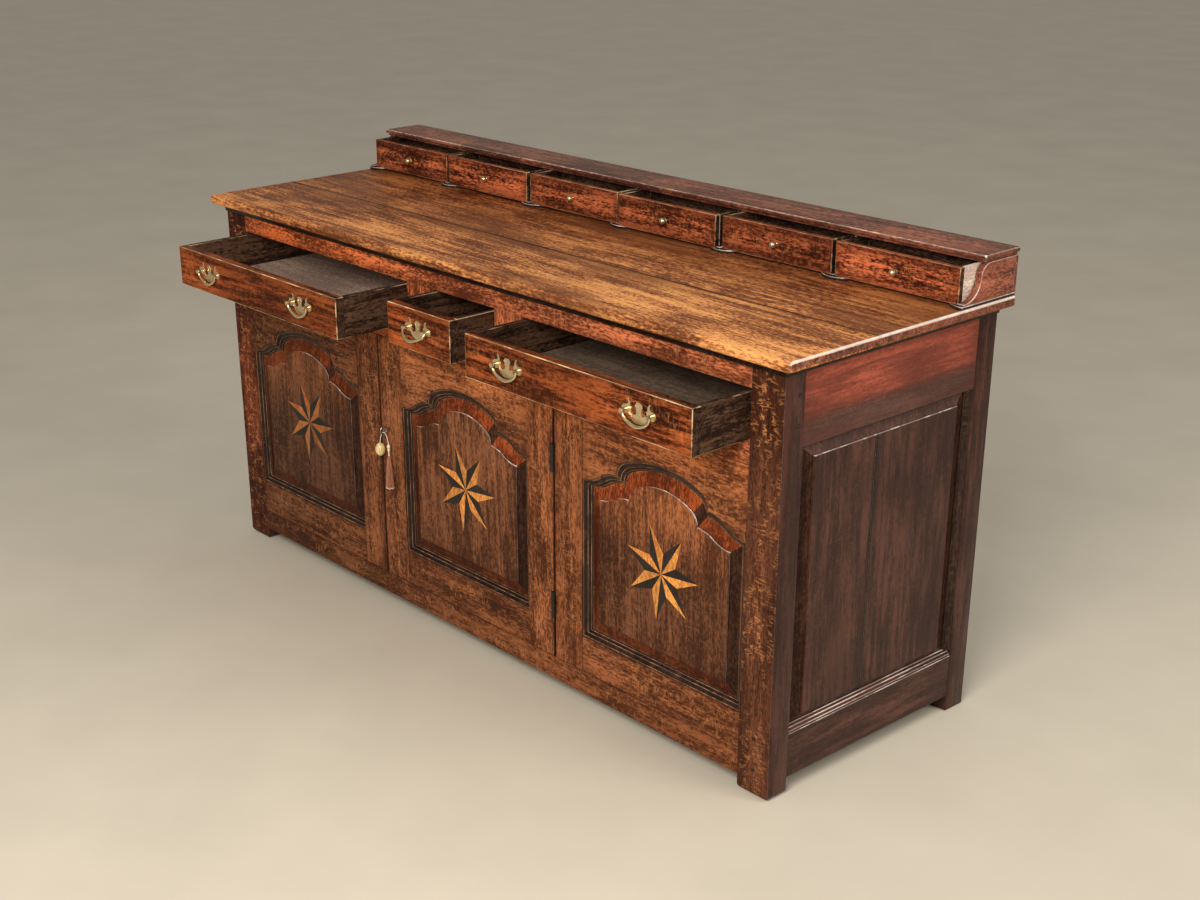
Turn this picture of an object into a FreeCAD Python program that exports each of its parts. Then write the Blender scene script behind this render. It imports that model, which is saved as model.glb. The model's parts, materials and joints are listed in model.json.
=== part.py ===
import FreeCAD, Part
import math
import os

# A low oak dresser: a joined carcass with three frieze drawers, a door between two fixed arched
# panels, and a gallery of six small spice drawers along the back of its table top.
# Frame: X along the front, Y towards the back, Z up. The origin lies on the floor, in the middle of
# the width and of the whole depth with the drawers drawn out as they stand at rest.

SIZES = {
    # Carcass, measured over the posts
    "carcass_width": 1750,
    "carcass_depth": 582,
    "top_height": 852,
    "post_width": 75,
    "front_post_depth": 51,
    "back_post_depth": 55,
    "foot_round": 12,
    "rail_thickness": 28,
    "frieze_rail_height": 54,
    "drawer_opening_height": 92,
    "drawer_rail_height": 46,
    "drawer_rail_depth": 60,
    "left_opening_width": 626,
    "centre_opening_width": 207,
    "muntin_width": 80,
    "base_rail_lift": 30,
    "base_rail_height": 50,
    # Arched panels and the frames round them
    "door_opening_width": 581,
    "inner_stile_width": 81,
    "panel_rail_height": 78,
    "crown_rail_height": 62,
    "arch_rise": 52,
    "ear_rise": 32,
    "panel_fit": 0.2,
    "panel_setback": 14,
    "panel_thickness": 10,
    "field_raise": 9,
    "field_step": 3.5,
    "panel_moulding_width": 18,
    "panel_moulding_setback": 1.5,
    "bevel_outer_inset": 20,
    "bevel_width": 22,
    "inlay_thickness": 2,
    # Sides, back and floor
    "side_rail_lift": 35,
    "side_lower_rail_height": 90,
    "side_upper_rail_height": 152,
    "side_bevel_width": 38,
    "side_bevel_end_width": 26,
    "side_moulding_width": 13,
    "side_moulding_setback": 1.5,
    "back_plank_thickness": 15,
    "back_rail_thickness": 22,
    "back_upper_rail_height": 60,
    "back_middle_rail_height": 40,
    "back_lower_rail_height": 75,
    "floor_thickness": 15,
    "bearer_width": 40,
    "bearer_height": 25,
    # Drawer runners, guides and kickers
    "runner_ledge": 25,
    "runner_thickness": 22,
    "guide_height": 20,
    # Table top and the moulding below it
    "top_thickness": 20,
    "top_front_overhang": 26,
    "top_side_overhang": 30,
    "top_back_overhang": 9,
    "top_back_board_width": 389,
    "top_edge_round": 8,
    "cove_height": 16,
    "cove_reach": 14,
    "cove_fillet": 3,
    # Gallery on the table top
    "gallery_height": 91,
    "gallery_end_setback": 3,
    "gallery_base_thickness": 6,
    "gallery_top_thickness": 15,
    "gallery_top_depth": 104,
    "gallery_top_overhang": 3,
    "gallery_nose_thickness": 9,
    "gallery_nose_round": 4,
    "gallery_nose_reach": 5,
    "gallery_back_thickness": 10,
    "gallery_end_thickness": 14,
    "gallery_divider_thickness": 10,
    "gallery_front_depth": 108,
    "gallery_shoulder": 26,
    "gallery_toe_reach": 48,
    "gallery_toe_height": 4,
    "gallery_neck_drop": 30,
    "gallery_tongue_radius": 45,
    "gallery_tongue_reach": 52,
    # Spice drawers and their knobs
    "spice_side_gap": 0.8,
    "spice_top_gap": 2,
    "spice_front_thickness": 12,
    "spice_board_thickness": 7,
    "spice_bottom_thickness": 5,
    "spice_depth": 94,
    "spice_drawer_1_out": 40,
    "spice_drawer_2_out": 44,
    "spice_drawer_3_out": 42,
    "spice_drawer_4_out": 50,
    "spice_drawer_5_out": 41,
    "spice_drawer_6_out": 44,
    "knob_radius": 7,
    "knob_reach": 16,
    "knob_stem_radius": 3,
    "knob_rose_radius": 6,
    "knob_rose_thickness": 1.5,
    # Frieze drawers
    "drawer_side_gap": 2,
    "drawer_top_gap": 5,
    "drawer_depth": 500,
    "drawer_front_thickness": 20,
    "drawer_board_thickness": 12,
    "drawer_bottom_thickness": 8,
    "drawer_bottom_lift": 6,
    "left_drawer_out": 178,
    "centre_drawer_out": 110,
    "right_drawer_out": 139,
    "seat_gap": 0.3,
    # Swan-neck handles
    "handle_lift": 5,
    "plate_half_width": 42,
    "plate_half_height": 20.5,
    "plate_thickness": 1.6,
    "handle_post_spread": 30.5,
    "handle_post_radius": 4.2,
    "handle_reach": 14.6,
    "bail_axis_reach": 8,
    "bail_rod_radius": 2,
    "bail_half_width": 25.8,
    "bail_corner_radius": 3.4,
    "bail_drop": 24,
    "running_clearance": 0.05,
    # Door, its hinges, lock and key
    "door_gap": 1.2,
    "door_hinge_gap": 2.4,
    "door_stile_width": 80,
    "hinge_height": 55,
    "hinge_leaf_width": 22,
    "hinge_leaf_thickness": 1.1,
    "hinge_leaf_gap": 0.3,
    "knuckle_radius": 4.5,
    "knuckle_stand_off": 0.2,
    "hinge_pin_radius": 2,
    "hinge_pin_head": 1.5,
    "knuckle_gap": 0.3,
    "upper_hinge_drop": 125,
    "lower_hinge_lift": 119,
    "lock_width": 56,
    "lock_height": 66,
    "lock_depth": 14,
    "lock_wall": 2,
    "lock_edge_setback": 1,
    "keyhole_height": 433,
    "keyhole_edge_distance": 32,
    "bolt_length": 34,
    "bolt_height": 10,
    "bolt_thickness": 5,
    "bolt_lift": 14,
    "bolt_fit": 0.3,
    "key_shank_radius": 3,
    "key_shank_length": 49,
    "key_bow_radius": 8,
    "key_bow_bar_radius": 2,
    "key_bit_length": 11,
    "key_bit_width": 7,
    "key_bit_thickness": 3,
    # Cord over the key's bow, with a bead and a tassel on its ends
    "key_cord_radius": 0.8,
    "bead_radius": 11,
    "bead_half_height": 15,
    "bead_drop_radius": 2.2,
    "tassel_length": 104,
    "tassel_skirt_radius": 10.3,
    # Oak pegs through the joints
    "peg_radius": 4,
    "peg_depth": 12,
    "peg_stand_out": 0.8,
    # How far a cutting shape runs past what it cuts
    "overrun": 5,
}

# Shares of the sizes that they follow
ARCH_SPAN_SHARE = 0.56
ARCH_HAUNCH_SHARE = 0.68
CROWN_DRAW_SHARE = 1.12
CUSP_DRAW_SHARE = 0.71
SPRING_DRAW_SHARE = 0.78
STAR_HEIGHT_SHARE = 0.4833
STAR_RADIUS_SHARE = 0.1155
STAR_VALLEY_SHARE = 0.45
HANDLE_SPREAD_SHARE = 0.2907
SIDE_JOINT_SHARE = 0.43
KNUCKLE_SHARES = (0.0, 0.34, 0.66, 1.0)
PEG_RAIL_SHARES = (0.3, 0.7)
SIDE_PEG_SHARE = 0.78
CORD_BEND_SHARE = 0.45

# Slopes of the moulding round an arched panel, from its outer to its inner edge: the width and the
# depth at which each slope starts, and those at which it ends
MOULDING_SLOPE_SHARES = (
    (0.14, 0.00, 0.42, 0.38),
    (0.56, 0.38, 0.74, 0.74),
    (0.86, 0.74, 1.00, 1.00),
)

# Section of the moulding round a side panel, as shares of its depth and its width
SIDE_MOULDING_SHARES = (
    (0.0, 0.0), (1.0, 0.0), (1.0, 0.3), (0.7, 0.42), (0.62, 0.68), (0.3, 0.8), (0.2, 1.0), (0.0, 1.0),
)

# Right half of a handle's back plate, from the bottom to the top of its middle lobe: the mid and end
# points of arcs, as shares of the plate's half width and half height
PLATE_START_SHARES = (0.0, -1.0)
PLATE_ARC_SHARES = (
    ((0.28, -0.93), (0.48, -0.62)),
    ((0.58, -0.40), (0.70, -0.36)),
    ((0.92, -0.30), (1.00, 0.02)),
    ((0.93, 0.32), (0.72, 0.40)),
    ((0.63, 0.62), (0.68, 0.92)),
    ((0.63, 1.00), (0.58, 0.90)),
    ((0.51, 0.62), (0.50, 0.34)),
    ((0.45, 0.33), (0.41, 0.24)),
    ((0.30, -0.33), (0.19, 0.24)),
    ((0.15, 0.30), (0.20, 0.38)),
    ((0.19, 0.66), (0.00, 0.82)),
)

# Turned outline of the tassel from its top down: shares of its skirt radius and of its length
TASSEL_SHARES = (
    (0.16, 0.00), (0.42, 0.03), (0.50, 0.08), (0.42, 0.13), (0.24, 0.17), (0.34, 0.22),
    (0.38, 0.28), (0.62, 0.60), (0.92, 0.95), (1.00, 1.00),
)

# Route of the key's cord, as offsets from the middle of the bow's lower bar: along X, Y and Z
KEY_CORD_ROUTE = (
    (-10.0, -4.0, -22.5),
    (-8.5, -3.2, -9.0),
    (-3.6, -0.9, 3.1),
    (3.6, 0.9, 3.1),
    (8.5, 3.2, -9.0),
    (10.0, 4.2, -22.5),
)

STAR_POINTS = 7
STAR_TURN = -19.3
SPICE_DRAWERS = 6
BACK_PLANKS = 8
FLOOR_BOARDS = 3
FLOOR_BEARERS = 3
COVE_STEPS = 6
CENTRE_BAIL_LIFT = 38

doc = FreeCAD.newDocument("Dresser")
sheet = doc.addObject("Spreadsheet::Sheet", "Sizes")
for row, (alias, number) in enumerate(SIZES.items(), start=1):
    sheet.set(f"A{row}", alias)
    sheet.set(f"B{row}", str(number))
    sheet.setAlias(f"B{row}", alias)
doc.recompute()


class Length:
    """A length from the sheet, or one worked out from such lengths, with the formula that gives it."""

    def __init__(self, formula, value):
        self.formula = formula
        self.value = value

    def __add__(self, other):
        return Length(f"({self.formula} + {other.formula})", self.value + other.value)

    def __sub__(self, other):
        return Length(f"({self.formula} - {other.formula})", self.value - other.value)

    def __neg__(self):
        return Length(f"(0 - {self.formula})", -self.value)

    def __mul__(self, share):
        return Length(f"({self.formula} * {share})", self.value * share)

    def __truediv__(self, count):
        return Length(f"({self.formula} / {count})", self.value / count)


class Sheet:
    """Reads the sheet's cells by their aliases."""

    def __getattr__(self, alias):
        return Length(f"Sizes.{alias}", float(sheet.get(alias)))


size = Sheet()
zero = Length("0", 0.0)
nodes = {}


# Helpers that make pieces

def board(name, x, y, z):
    """A board between two places along each axis."""
    box = doc.addObject("Part::Box", name)
    for side, axis, (low, high) in zip(("Length", "Width", "Height"), "xyz", (x, y, z)):
        box.setExpression(side, (high - low).formula)
        box.setExpression(f"Placement.Base.{axis}", low.formula)
    return box


def rod(name, centre, direction, radius, length):
    """A round bar that starts at a place and runs along a direction."""
    bar = doc.addObject("Part::Cylinder", name)
    turn = FreeCAD.Rotation(FreeCAD.Vector(0, 0, 1), FreeCAD.Vector(*direction))
    bar.Placement = FreeCAD.Placement(FreeCAD.Vector(), turn)
    bar.setExpression("Radius", radius.formula)
    bar.setExpression("Height", length.formula)
    place(bar, centre)
    return bar


def ball(name, centre, radius):
    """A ball about a place."""
    sphere = doc.addObject("Part::Sphere", name)
    sphere.setExpression("Radius", radius.formula)
    place(sphere, centre)
    return sphere


def place(piece, centre):
    """Ties a piece's place to lengths."""
    for axis, offset in zip("xyz", centre):
        piece.setExpression(f"Placement.Base.{axis}", offset.formula)


def cut(name, base, tool):
    """One piece with another taken out of it."""
    result = doc.addObject("Part::Cut", name)
    result.Base = base
    result.Tool = tool
    return result


def fuse(name, pieces):
    """Pieces made into one solid."""
    result = doc.addObject("Part::MultiFuse", name)
    result.Shapes = pieces
    result.Refine = True
    return result


def group(name, pieces):
    """Separate solids kept together."""
    result = doc.addObject("Part::Compound", name)
    result.Links = pieces
    return result


def shaped(name, shape):
    """A piece whose outline no primitive gives."""
    feature = doc.addObject("Part::Feature", name)
    feature.Shape = shape
    return feature


def rounded(name, base, radius, chosen):
    """A board with a fillet on the edges whose middle points are chosen."""
    doc.recompute()
    result = doc.addObject("Part::Fillet", name)
    result.Base = base
    result.Edges = [
        (index, radius.value, radius.value)
        for index, edge in enumerate(base.Shape.Edges, start=1)
        if chosen(edge.CenterOfMass)
    ]
    return result


def node(label, pieces):
    """Makes one node from a piece, or from several separate solids."""
    piece = pieces[0] if len(pieces) == 1 else group(f"group_{label}", pieces)
    piece.Label = label
    nodes[label] = piece


def mirrored(span):
    """The same stretch of X on the left-hand side."""
    return (-span[1], -span[0])


def both_sides(span):
    """A stretch of X on the left and on the right."""
    return (("left", mirrored(span)), ("right", span))


# Outlines

def point(x, y, z):
    return FreeCAD.Vector(x, y, z)


def arc(start, middle, end):
    return Part.Arc(start, middle, end).toShape()


def line(start, end):
    return Part.LineSegment(start, end).toShape()


def s_curve(start, end):
    """Two like arcs from one place to another, level at both ends, in a plane of X and Z."""
    middle = (start + end) / 2
    edges = []
    for foot, tip in ((start, middle), (end, middle)):
        run = tip.x - foot.x
        rise = tip.z - foot.z
        radius = (run * run + rise * rise) / (2 * rise)
        half_turn = math.atan2(abs(rise), abs(run))
        across = math.copysign(abs(radius) * math.sin(half_turn), run)
        up = radius * (1 - math.cos(half_turn))
        between = point(foot.x + across, foot.y, foot.z + up)
        ends = (foot, tip) if foot is start else (tip, foot)
        edges.append(arc(ends[0], between, ends[1]))
    return edges


def arch_places(centre, width, crown, inset):
    """The spring, cusp and crown of an arched opening, drawn in by an inset."""
    half = width.value / 2 - inset
    cusp_half = width.value / 2 * ARCH_SPAN_SHARE - inset * CUSP_DRAW_SHARE
    top = crown.value - inset * CROWN_DRAW_SHARE
    cusp_z = crown.value - size.arch_rise.value - inset
    spring_z = crown.value - size.arch_rise.value - size.ear_rise.value - inset * SPRING_DRAW_SHARE
    return centre.value, half, cusp_half, top, cusp_z, spring_z


def three_centred_arch(x, y, cusp_half, cusp_z, top):
    """An arch of three tangent arcs that springs upright from its two cusps, from right to left."""
    rise = top - cusp_z
    haunch = rise * ARCH_HAUNCH_SHARE
    run = cusp_half - haunch
    drop = (run * run - (rise - haunch) ** 2) / (2 * (rise - haunch))
    sweep = math.atan2(run, drop)
    half_turn = (math.pi / 2 - sweep) / 2
    places = {}
    for sign in (-1, 1):
        places[sign] = (
            point(x + sign * cusp_half, y, cusp_z),
            point(x + sign * (run + haunch * math.cos(half_turn)), y, cusp_z + haunch * math.sin(half_turn)),
            point(x + sign * (run + haunch * math.sin(sweep)), y, cusp_z + haunch * math.cos(sweep)),
        )
    right_cusp, right_middle, right_end = places[1]
    left_cusp, left_middle, left_end = places[-1]
    return [
        arc(right_cusp, right_middle, right_end),
        arc(right_end, point(x, y, top), left_end),
        arc(left_end, left_middle, left_cusp),
    ]


def arch_line(centre, width, crown, inset, y):
    """The shaped top of an arched opening, from its right spring to its left one."""
    x, half, cusp_half, top, cusp_z, spring_z = arch_places(centre, width, crown, inset)
    right_cusp = point(x + cusp_half, y, cusp_z)
    left_cusp = point(x - cusp_half, y, cusp_z)
    edges = s_curve(point(x + half, y, spring_z), right_cusp)
    edges += three_centred_arch(x, y, cusp_half, cusp_z, top)
    edges += s_curve(left_cusp, point(x - half, y, spring_z))
    return edges


def arched_outline(centre, width, bottom, crown, inset, y):
    """The whole outline of an arched opening, drawn in by an inset, at a depth of Y."""
    x, half, _, _, _, spring_z = arch_places(centre, width, crown, inset)
    low = bottom.value + inset
    low_left = point(x - half, y, low)
    low_right = point(x + half, y, low)
    right_spring = point(x + half, y, spring_z)
    left_spring = point(x - half, y, spring_z)
    edges = [line(low_left, low_right), line(low_right, right_spring)]
    edges += arch_line(centre, width, crown, inset, y)
    edges.append(line(left_spring, low_left))
    return Part.Wire(edges)


def star_places(centre, height, y):
    """The tips and valleys of a star, in turn and clockwise as seen from the front."""
    places = []
    for step in range(2 * STAR_POINTS):
        angle = math.radians(STAR_TURN + step * 180 / STAR_POINTS)
        reach = star_radius.value * (STAR_VALLEY_SHARE if step % 2 else 1.0)
        places.append(point(
            centre.value + reach * math.sin(angle), y, height.value + reach * math.cos(angle)))
    return places


def depth_of(low, high):
    """A push along Y from one depth to another."""
    return point(0, high.value - low.value, 0)


# Places that several pieces share

half_width = size.carcass_width / 2
drawn_reach = size.left_drawer_out + size.plate_thickness + size.handle_reach
whole_depth = drawn_reach + size.carcass_depth + size.top_back_overhang
front = drawn_reach - whole_depth / 2
back = front + size.carcass_depth
frame_back = front + size.rail_thickness
post_inner = half_width - size.post_width
post_top = size.top_height - size.top_thickness
side_inner = half_width - size.rail_thickness
frieze_bottom = post_top - size.frieze_rail_height
opening_bottom = frieze_bottom - size.drawer_opening_height
frame_top = opening_bottom - size.drawer_rail_height
base_top = size.base_rail_lift + size.base_rail_height
panel_bottom = base_top + size.panel_rail_height
crown = frame_top - size.crown_rail_height
door_half = size.door_opening_width / 2
stile_outer = door_half + size.inner_stile_width
fixed_width = post_inner - stile_outer
fixed_centre = (post_inner + stile_outer) / 2
star_height = panel_bottom + (crown - panel_bottom) * STAR_HEIGHT_SHARE
star_radius = (crown - panel_bottom + fixed_width) * STAR_RADIUS_SHARE
left_muntin_start = size.left_opening_width - post_inner
left_muntin = (left_muntin_start, left_muntin_start + size.muntin_width)
right_muntin_start = left_muntin[1] + size.centre_opening_width
right_muntin = (right_muntin_start, right_muntin_start + size.muntin_width)
plank_front = back - size.back_plank_thickness
back_rail_front = plank_front - size.back_rail_thickness
panel_ground = front + size.panel_setback
field_face = panel_ground - size.field_raise


# Carcass posts and rails

def joint_pegs():
    """Oak pegs through the tenons, as holes for the posts and as the pegs themselves."""
    rails = {
        "frieze": (frieze_bottom, post_top - size.cove_height),
        "drawer": (opening_bottom - size.drawer_rail_height, opening_bottom),
        "arched": (crown, frame_top),
        "panel": (base_top, panel_bottom),
        "base": (size.base_rail_lift, base_top),
    }
    pegs = []
    holes = {"left": [], "right": []}
    for hand, sign in (("left", -1), ("right", 1)):
        x = (post_inner + half_width) / 2 * sign
        for rail, (low, high) in rails.items():
            z = low + (high - low) / 2
            start = (x, front + size.peg_depth, z)
            hole = rod(f"hole_{hand}_{rail}", start, (0, -1, 0), size.peg_radius,
                       size.peg_depth + size.overrun)
            peg = rod(f"peg_{hand}_{rail}", start, (0, -1, 0), size.peg_radius,
                      size.peg_depth + size.peg_stand_out)
            holes[hand].append(hole)
            pegs.append(peg)
        upper_low = post_top - size.side_upper_rail_height
        for count, share in enumerate(PEG_RAIL_SHARES):
            z = upper_low + (post_top - size.cove_height - upper_low) * share
            y = front + size.front_post_depth * SIDE_PEG_SHARE
            start = ((half_width - size.peg_depth) * sign, y, z)
            hole = rod(f"hole_{hand}_side_{count}", start, (sign, 0, 0), size.peg_radius,
                       size.peg_depth + size.overrun)
            peg = rod(f"peg_{hand}_side_{count}", start, (sign, 0, 0), size.peg_radius,
                      size.peg_depth + size.peg_stand_out)
            holes[hand].append(hole)
            pegs.append(peg)
    node("joint_pegs", pegs)
    return holes


def posts():
    """Front posts run to the floor as rounded feet, and back posts stand square."""
    holes = joint_pegs()
    fronts = []
    backs = []
    for hand, span in both_sides((post_inner, half_width)):
        stick = board(f"front_post_stick_{hand}", span, (front, front + size.front_post_depth),
                      (zero, post_top))
        foot = rounded(f"front_post_foot_{hand}", stick, size.foot_round,
                       lambda middle: middle.z < size.foot_round.value)
        fronts.append(cut(f"front_post_{hand}", foot, group(f"post_holes_{hand}", holes[hand])))
        backs.append(board(f"back_post_{hand}", span, (back - size.back_post_depth, back), (zero, post_top)))
    node("front_posts", fronts)
    node("back_posts", backs)


def front_rails():
    """Rails between the posts, and the muntins between the frieze drawers."""
    across = (-post_inner, post_inner)
    node("frieze_rail", [board("frieze_board", across, (front, frame_back), (frieze_bottom, post_top))])
    node("base_rail", [board("base_board", across, (front, frame_back), (size.base_rail_lift, base_top))])
    blade_depth = (front, front + size.drawer_rail_depth)
    dividers = [board("drawer_blade", across, blade_depth, (frame_top, opening_bottom))]
    for name, span in (("left_muntin", left_muntin), ("right_muntin", right_muntin)):
        dividers.append(board(name, span, (front, frame_back), (opening_bottom, frieze_bottom)))
    node("drawer_dividers", dividers)


# Arched panels

def arched_rail(name, centre, width, top):
    """A top rail whose lower edge follows the arched opening."""
    y = front.value
    x, half, _, _, _, spring_z = arch_places(centre, width, crown, 0.0)
    edges = arch_line(centre, width, crown, 0.0, y)
    corners = [
        point(x - half, y, spring_z), point(x - half, y, top.value),
        point(x + half, y, top.value), point(x + half, y, spring_z),
    ]
    edges += [line(corners[i], corners[i + 1]) for i in range(3)]
    face = Part.Face(Part.Wire(edges))
    return shaped(name, face.extrude(depth_of(front, frame_back)))


def panel_moulding(name, centre, width):
    """A moulding planted round the inside of an arched opening, in front of its panel."""
    y = front.value + size.panel_moulding_setback.value
    outer = arched_outline(centre, width, panel_bottom, crown, size.panel_fit.value, y)
    push = point(0, panel_ground.value - y, 0)
    ring = Part.Face(outer).extrude(push)
    breadth = size.panel_moulding_width.value
    for start_width, start_depth, end_width, end_depth in MOULDING_SLOPE_SHARES:
        mouth = arched_outline(centre, width, panel_bottom, crown, breadth * start_width,
                               y + push.y * start_depth)
        throat = arched_outline(centre, width, panel_bottom, crown, breadth * end_width,
                                y + push.y * end_depth)
        ring = ring.cut(Part.makeLoft([mouth, throat], True, True))
    return shaped(name, ring)


def star_solid(centre, y):
    """The whole star, from its face back to its seat."""
    places = star_places(centre, star_height, y)
    outline = Part.makePolygon(places + places[:1])
    return Part.Face(outline).extrude(point(0, size.inlay_thickness.value, 0))


def fielded_panel(name, centre, width):
    """A panel with a raised field, its bevels, and a seat sunk in the field for the star."""
    ground = panel_ground.value
    face = field_face.value
    shelf = face + size.field_step.value
    outline = arched_outline(centre, width, panel_bottom, crown, size.panel_fit.value, ground)
    blank = Part.Face(outline).extrude(point(0, size.panel_thickness.value, 0))
    outer_inset = size.bevel_outer_inset.value
    inner_inset = outer_inset + size.bevel_width.value
    low = arched_outline(centre, width, panel_bottom, crown, outer_inset, ground)
    high = arched_outline(centre, width, panel_bottom, crown, inner_inset, shelf)
    bevel = Part.makeLoft([low, high], True, True)
    field = Part.Face(high).extrude(point(0, face - shelf, 0))
    return shaped(name, blank.fuse([bevel, field]).removeSplitter().cut(star_solid(centre, face)))


def star_halves(name, centre, light):
    """One half of each point of the star: the clockwise halves are the light ones."""
    y = field_face.value
    places = star_places(centre, star_height, y)
    middle = point(centre.value, y, star_height.value)
    pieces = []
    for count in range(STAR_POINTS):
        tip = places[2 * count]
        valley = places[2 * count + 1] if light else places[2 * count - 1]
        corner = Part.Face(Part.makePolygon([middle, tip, valley, middle]))
        pieces.append(shaped(f"{name}_{count}", corner.extrude(point(0, size.inlay_thickness.value, 0))))
    return pieces


def fixed_panels():
    """The two panels that do not open, with their frames, mouldings and stars."""
    frames = []
    panels = []
    mouldings = []
    stars = {True: [], False: []}
    depth = (front, frame_back)
    for hand, sign in (("left", -1), ("right", 1)):
        centre = fixed_centre * sign
        stile = (door_half, stile_outer)
        rail = (stile_outer, post_inner)
        if hand == "left":
            stile = mirrored(stile)
            rail = mirrored(rail)
        frames.append(board(f"{hand}_inner_stile", stile, depth, (base_top, frame_top)))
        frames.append(board(f"{hand}_bottom_rail", rail, depth, (base_top, panel_bottom)))
        frames.append(arched_rail(f"{hand}_arched_rail", centre, fixed_width, frame_top))
        panels.append(fielded_panel(f"{hand}_panel", centre, fixed_width))
        mouldings.append(panel_moulding(f"{hand}_panel_moulding", centre, fixed_width))
        for light in (True, False):
            shade = "light" if light else "dark"
            stars[light] += star_halves(f"{hand}_star_{shade}", centre, light)
    node("fixed_panel_frames", frames)
    node("fixed_panels", panels)
    node("fixed_panel_mouldings", mouldings)
    node("fixed_stars_light", stars[True])
    node("fixed_stars_dark", stars[False])


# Sides, back, floor and runners

def side_board(name, sign, low_y, high_y, bevel_low, bevel_high):
    """One board of a side panel, bevelled on three edges up to a raised field."""
    fit = size.panel_fit.value
    low_z = size.side_rail_lift.value + size.side_lower_rail_height.value + fit
    high_z = post_top.value - size.side_upper_rail_height.value - fit
    ground = half_width.value - size.panel_setback.value
    face = ground + size.field_raise.value
    shelf = face - size.field_step.value
    inner = ground - size.panel_thickness.value
    ends = size.side_bevel_end_width.value
    margin = size.side_moulding_width.value
    back_margin = margin if bevel_high else 0.0

    def frame_wire(x, y_low, y_high, z_low, z_high):
        corners = [point(sign * x, y_low, z_low), point(sign * x, y_high, z_low),
                   point(sign * x, y_high, z_high), point(sign * x, y_low, z_high)]
        return Part.makePolygon(corners + corners[:1])

    outline = frame_wire(ground, low_y, high_y, low_z, high_z)
    blank = Part.Face(outline).extrude(point(sign * (inner - ground), 0, 0))
    base = frame_wire(ground, low_y, high_y - back_margin, low_z + margin, high_z)
    rim = frame_wire(shelf, low_y + bevel_low, high_y - bevel_high, low_z + ends, high_z - ends)
    bevel = Part.makeLoft([base, rim], True, True)
    field = Part.Face(rim).extrude(point(sign * (face - shelf), 0, 0))
    return shaped(name, blank.fuse([bevel, field]).removeSplitter())


def side_moulding(name, sign, start, across, run):
    """A moulding in the angle between a side panel and its frame, from a start along a run."""
    deep = size.panel_setback.value - size.side_moulding_setback.value
    wide = size.side_moulding_width.value
    corners = [
        start + point(sign * deep * depth_share, 0, 0) + across * (wide * width_share)
        for depth_share, width_share in SIDE_MOULDING_SHARES
    ]
    face = Part.Face(Part.makePolygon(corners + corners[:1]))
    return shaped(name, face.extrude(run))


def sides():
    """Side rails and mouldings between the posts, with a fielded panel of two boards on each side."""
    rails = []
    panels = []
    depth = (front + size.front_post_depth, back - size.back_post_depth)
    lower = (size.side_rail_lift, size.side_rail_lift + size.side_lower_rail_height)
    upper = (post_top - size.side_upper_rail_height, post_top)
    fit = size.panel_fit.value
    start = depth[0].value + fit
    end = depth[1].value - fit
    joint = start + (end - start) * SIDE_JOINT_SHARE
    bevel = size.side_bevel_width.value
    ground = half_width.value - size.panel_setback.value
    breadth = size.side_moulding_width.value
    for hand, span in both_sides((side_inner, half_width)):
        sign = -1 if hand == "left" else 1
        rails.append(board(f"{hand}_lower_rail", span, depth, lower))
        rails.append(board(f"{hand}_upper_rail", span, depth, upper))
        foot = point(sign * ground, depth[0].value, lower[1].value)
        rails.append(side_moulding(f"{hand}_lower_moulding", sign, foot, point(0, 0, 1), depth_of(*depth)))
        corner = point(sign * ground, depth[1].value, lower[1].value + breadth)
        rise = point(0, 0, upper[0].value - corner.z)
        rails.append(side_moulding(f"{hand}_back_moulding", sign, corner, point(0, -1, 0), rise))
        panels.append(side_board(f"{hand}_front_board", sign, start, joint, bevel, 0.0))
        panels.append(side_board(f"{hand}_back_board", sign, joint, end, 0.0, bevel))
    node("side_rails", rails)
    node("side_panels", panels)


def back_and_floor():
    """Upright planks on three rails at the back, and floor boards on bearers."""
    across = (-post_inner, post_inner)
    rail_depth = (back_rail_front, plank_front)
    lift = size.side_rail_lift
    rails = [
        board("back_upper_rail", across, rail_depth, (post_top - size.back_upper_rail_height, post_top)),
        board("back_middle_rail", across, rail_depth,
              (opening_bottom - size.runner_thickness - size.back_middle_rail_height,
               opening_bottom - size.runner_thickness)),
        board("back_lower_rail", across, rail_depth, (lift, lift + size.back_lower_rail_height)),
    ]
    node("back_rails", rails)
    plank = post_inner * 2 / BACK_PLANKS
    planks = [
        board(f"back_plank_{i}", (plank * i - post_inner, plank * (i + 1) - post_inner),
              (plank_front, back), (lift, post_top))
        for i in range(BACK_PLANKS)
    ]
    node("back_boards", planks)
    floor_board = (back_rail_front - frame_back) / FLOOR_BOARDS
    pieces = [
        board(f"floor_board_{i}", across,
              (frame_back + floor_board * i, frame_back + floor_board * (i + 1)),
              (base_top - size.floor_thickness, base_top))
        for i in range(FLOOR_BOARDS)
    ]
    bearer_top = base_top - size.floor_thickness
    for i in range(FLOOR_BEARERS):
        middle = post_inner * 2 * (i + 1) / (FLOOR_BEARERS + 1) - post_inner
        span = (middle - size.bearer_width / 2, middle + size.bearer_width / 2)
        pieces.append(board(f"floor_bearer_{i}", span, (frame_back, back_rail_front),
                            (bearer_top - size.bearer_height, bearer_top)))
    node("cupboard_floor", pieces)


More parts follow.
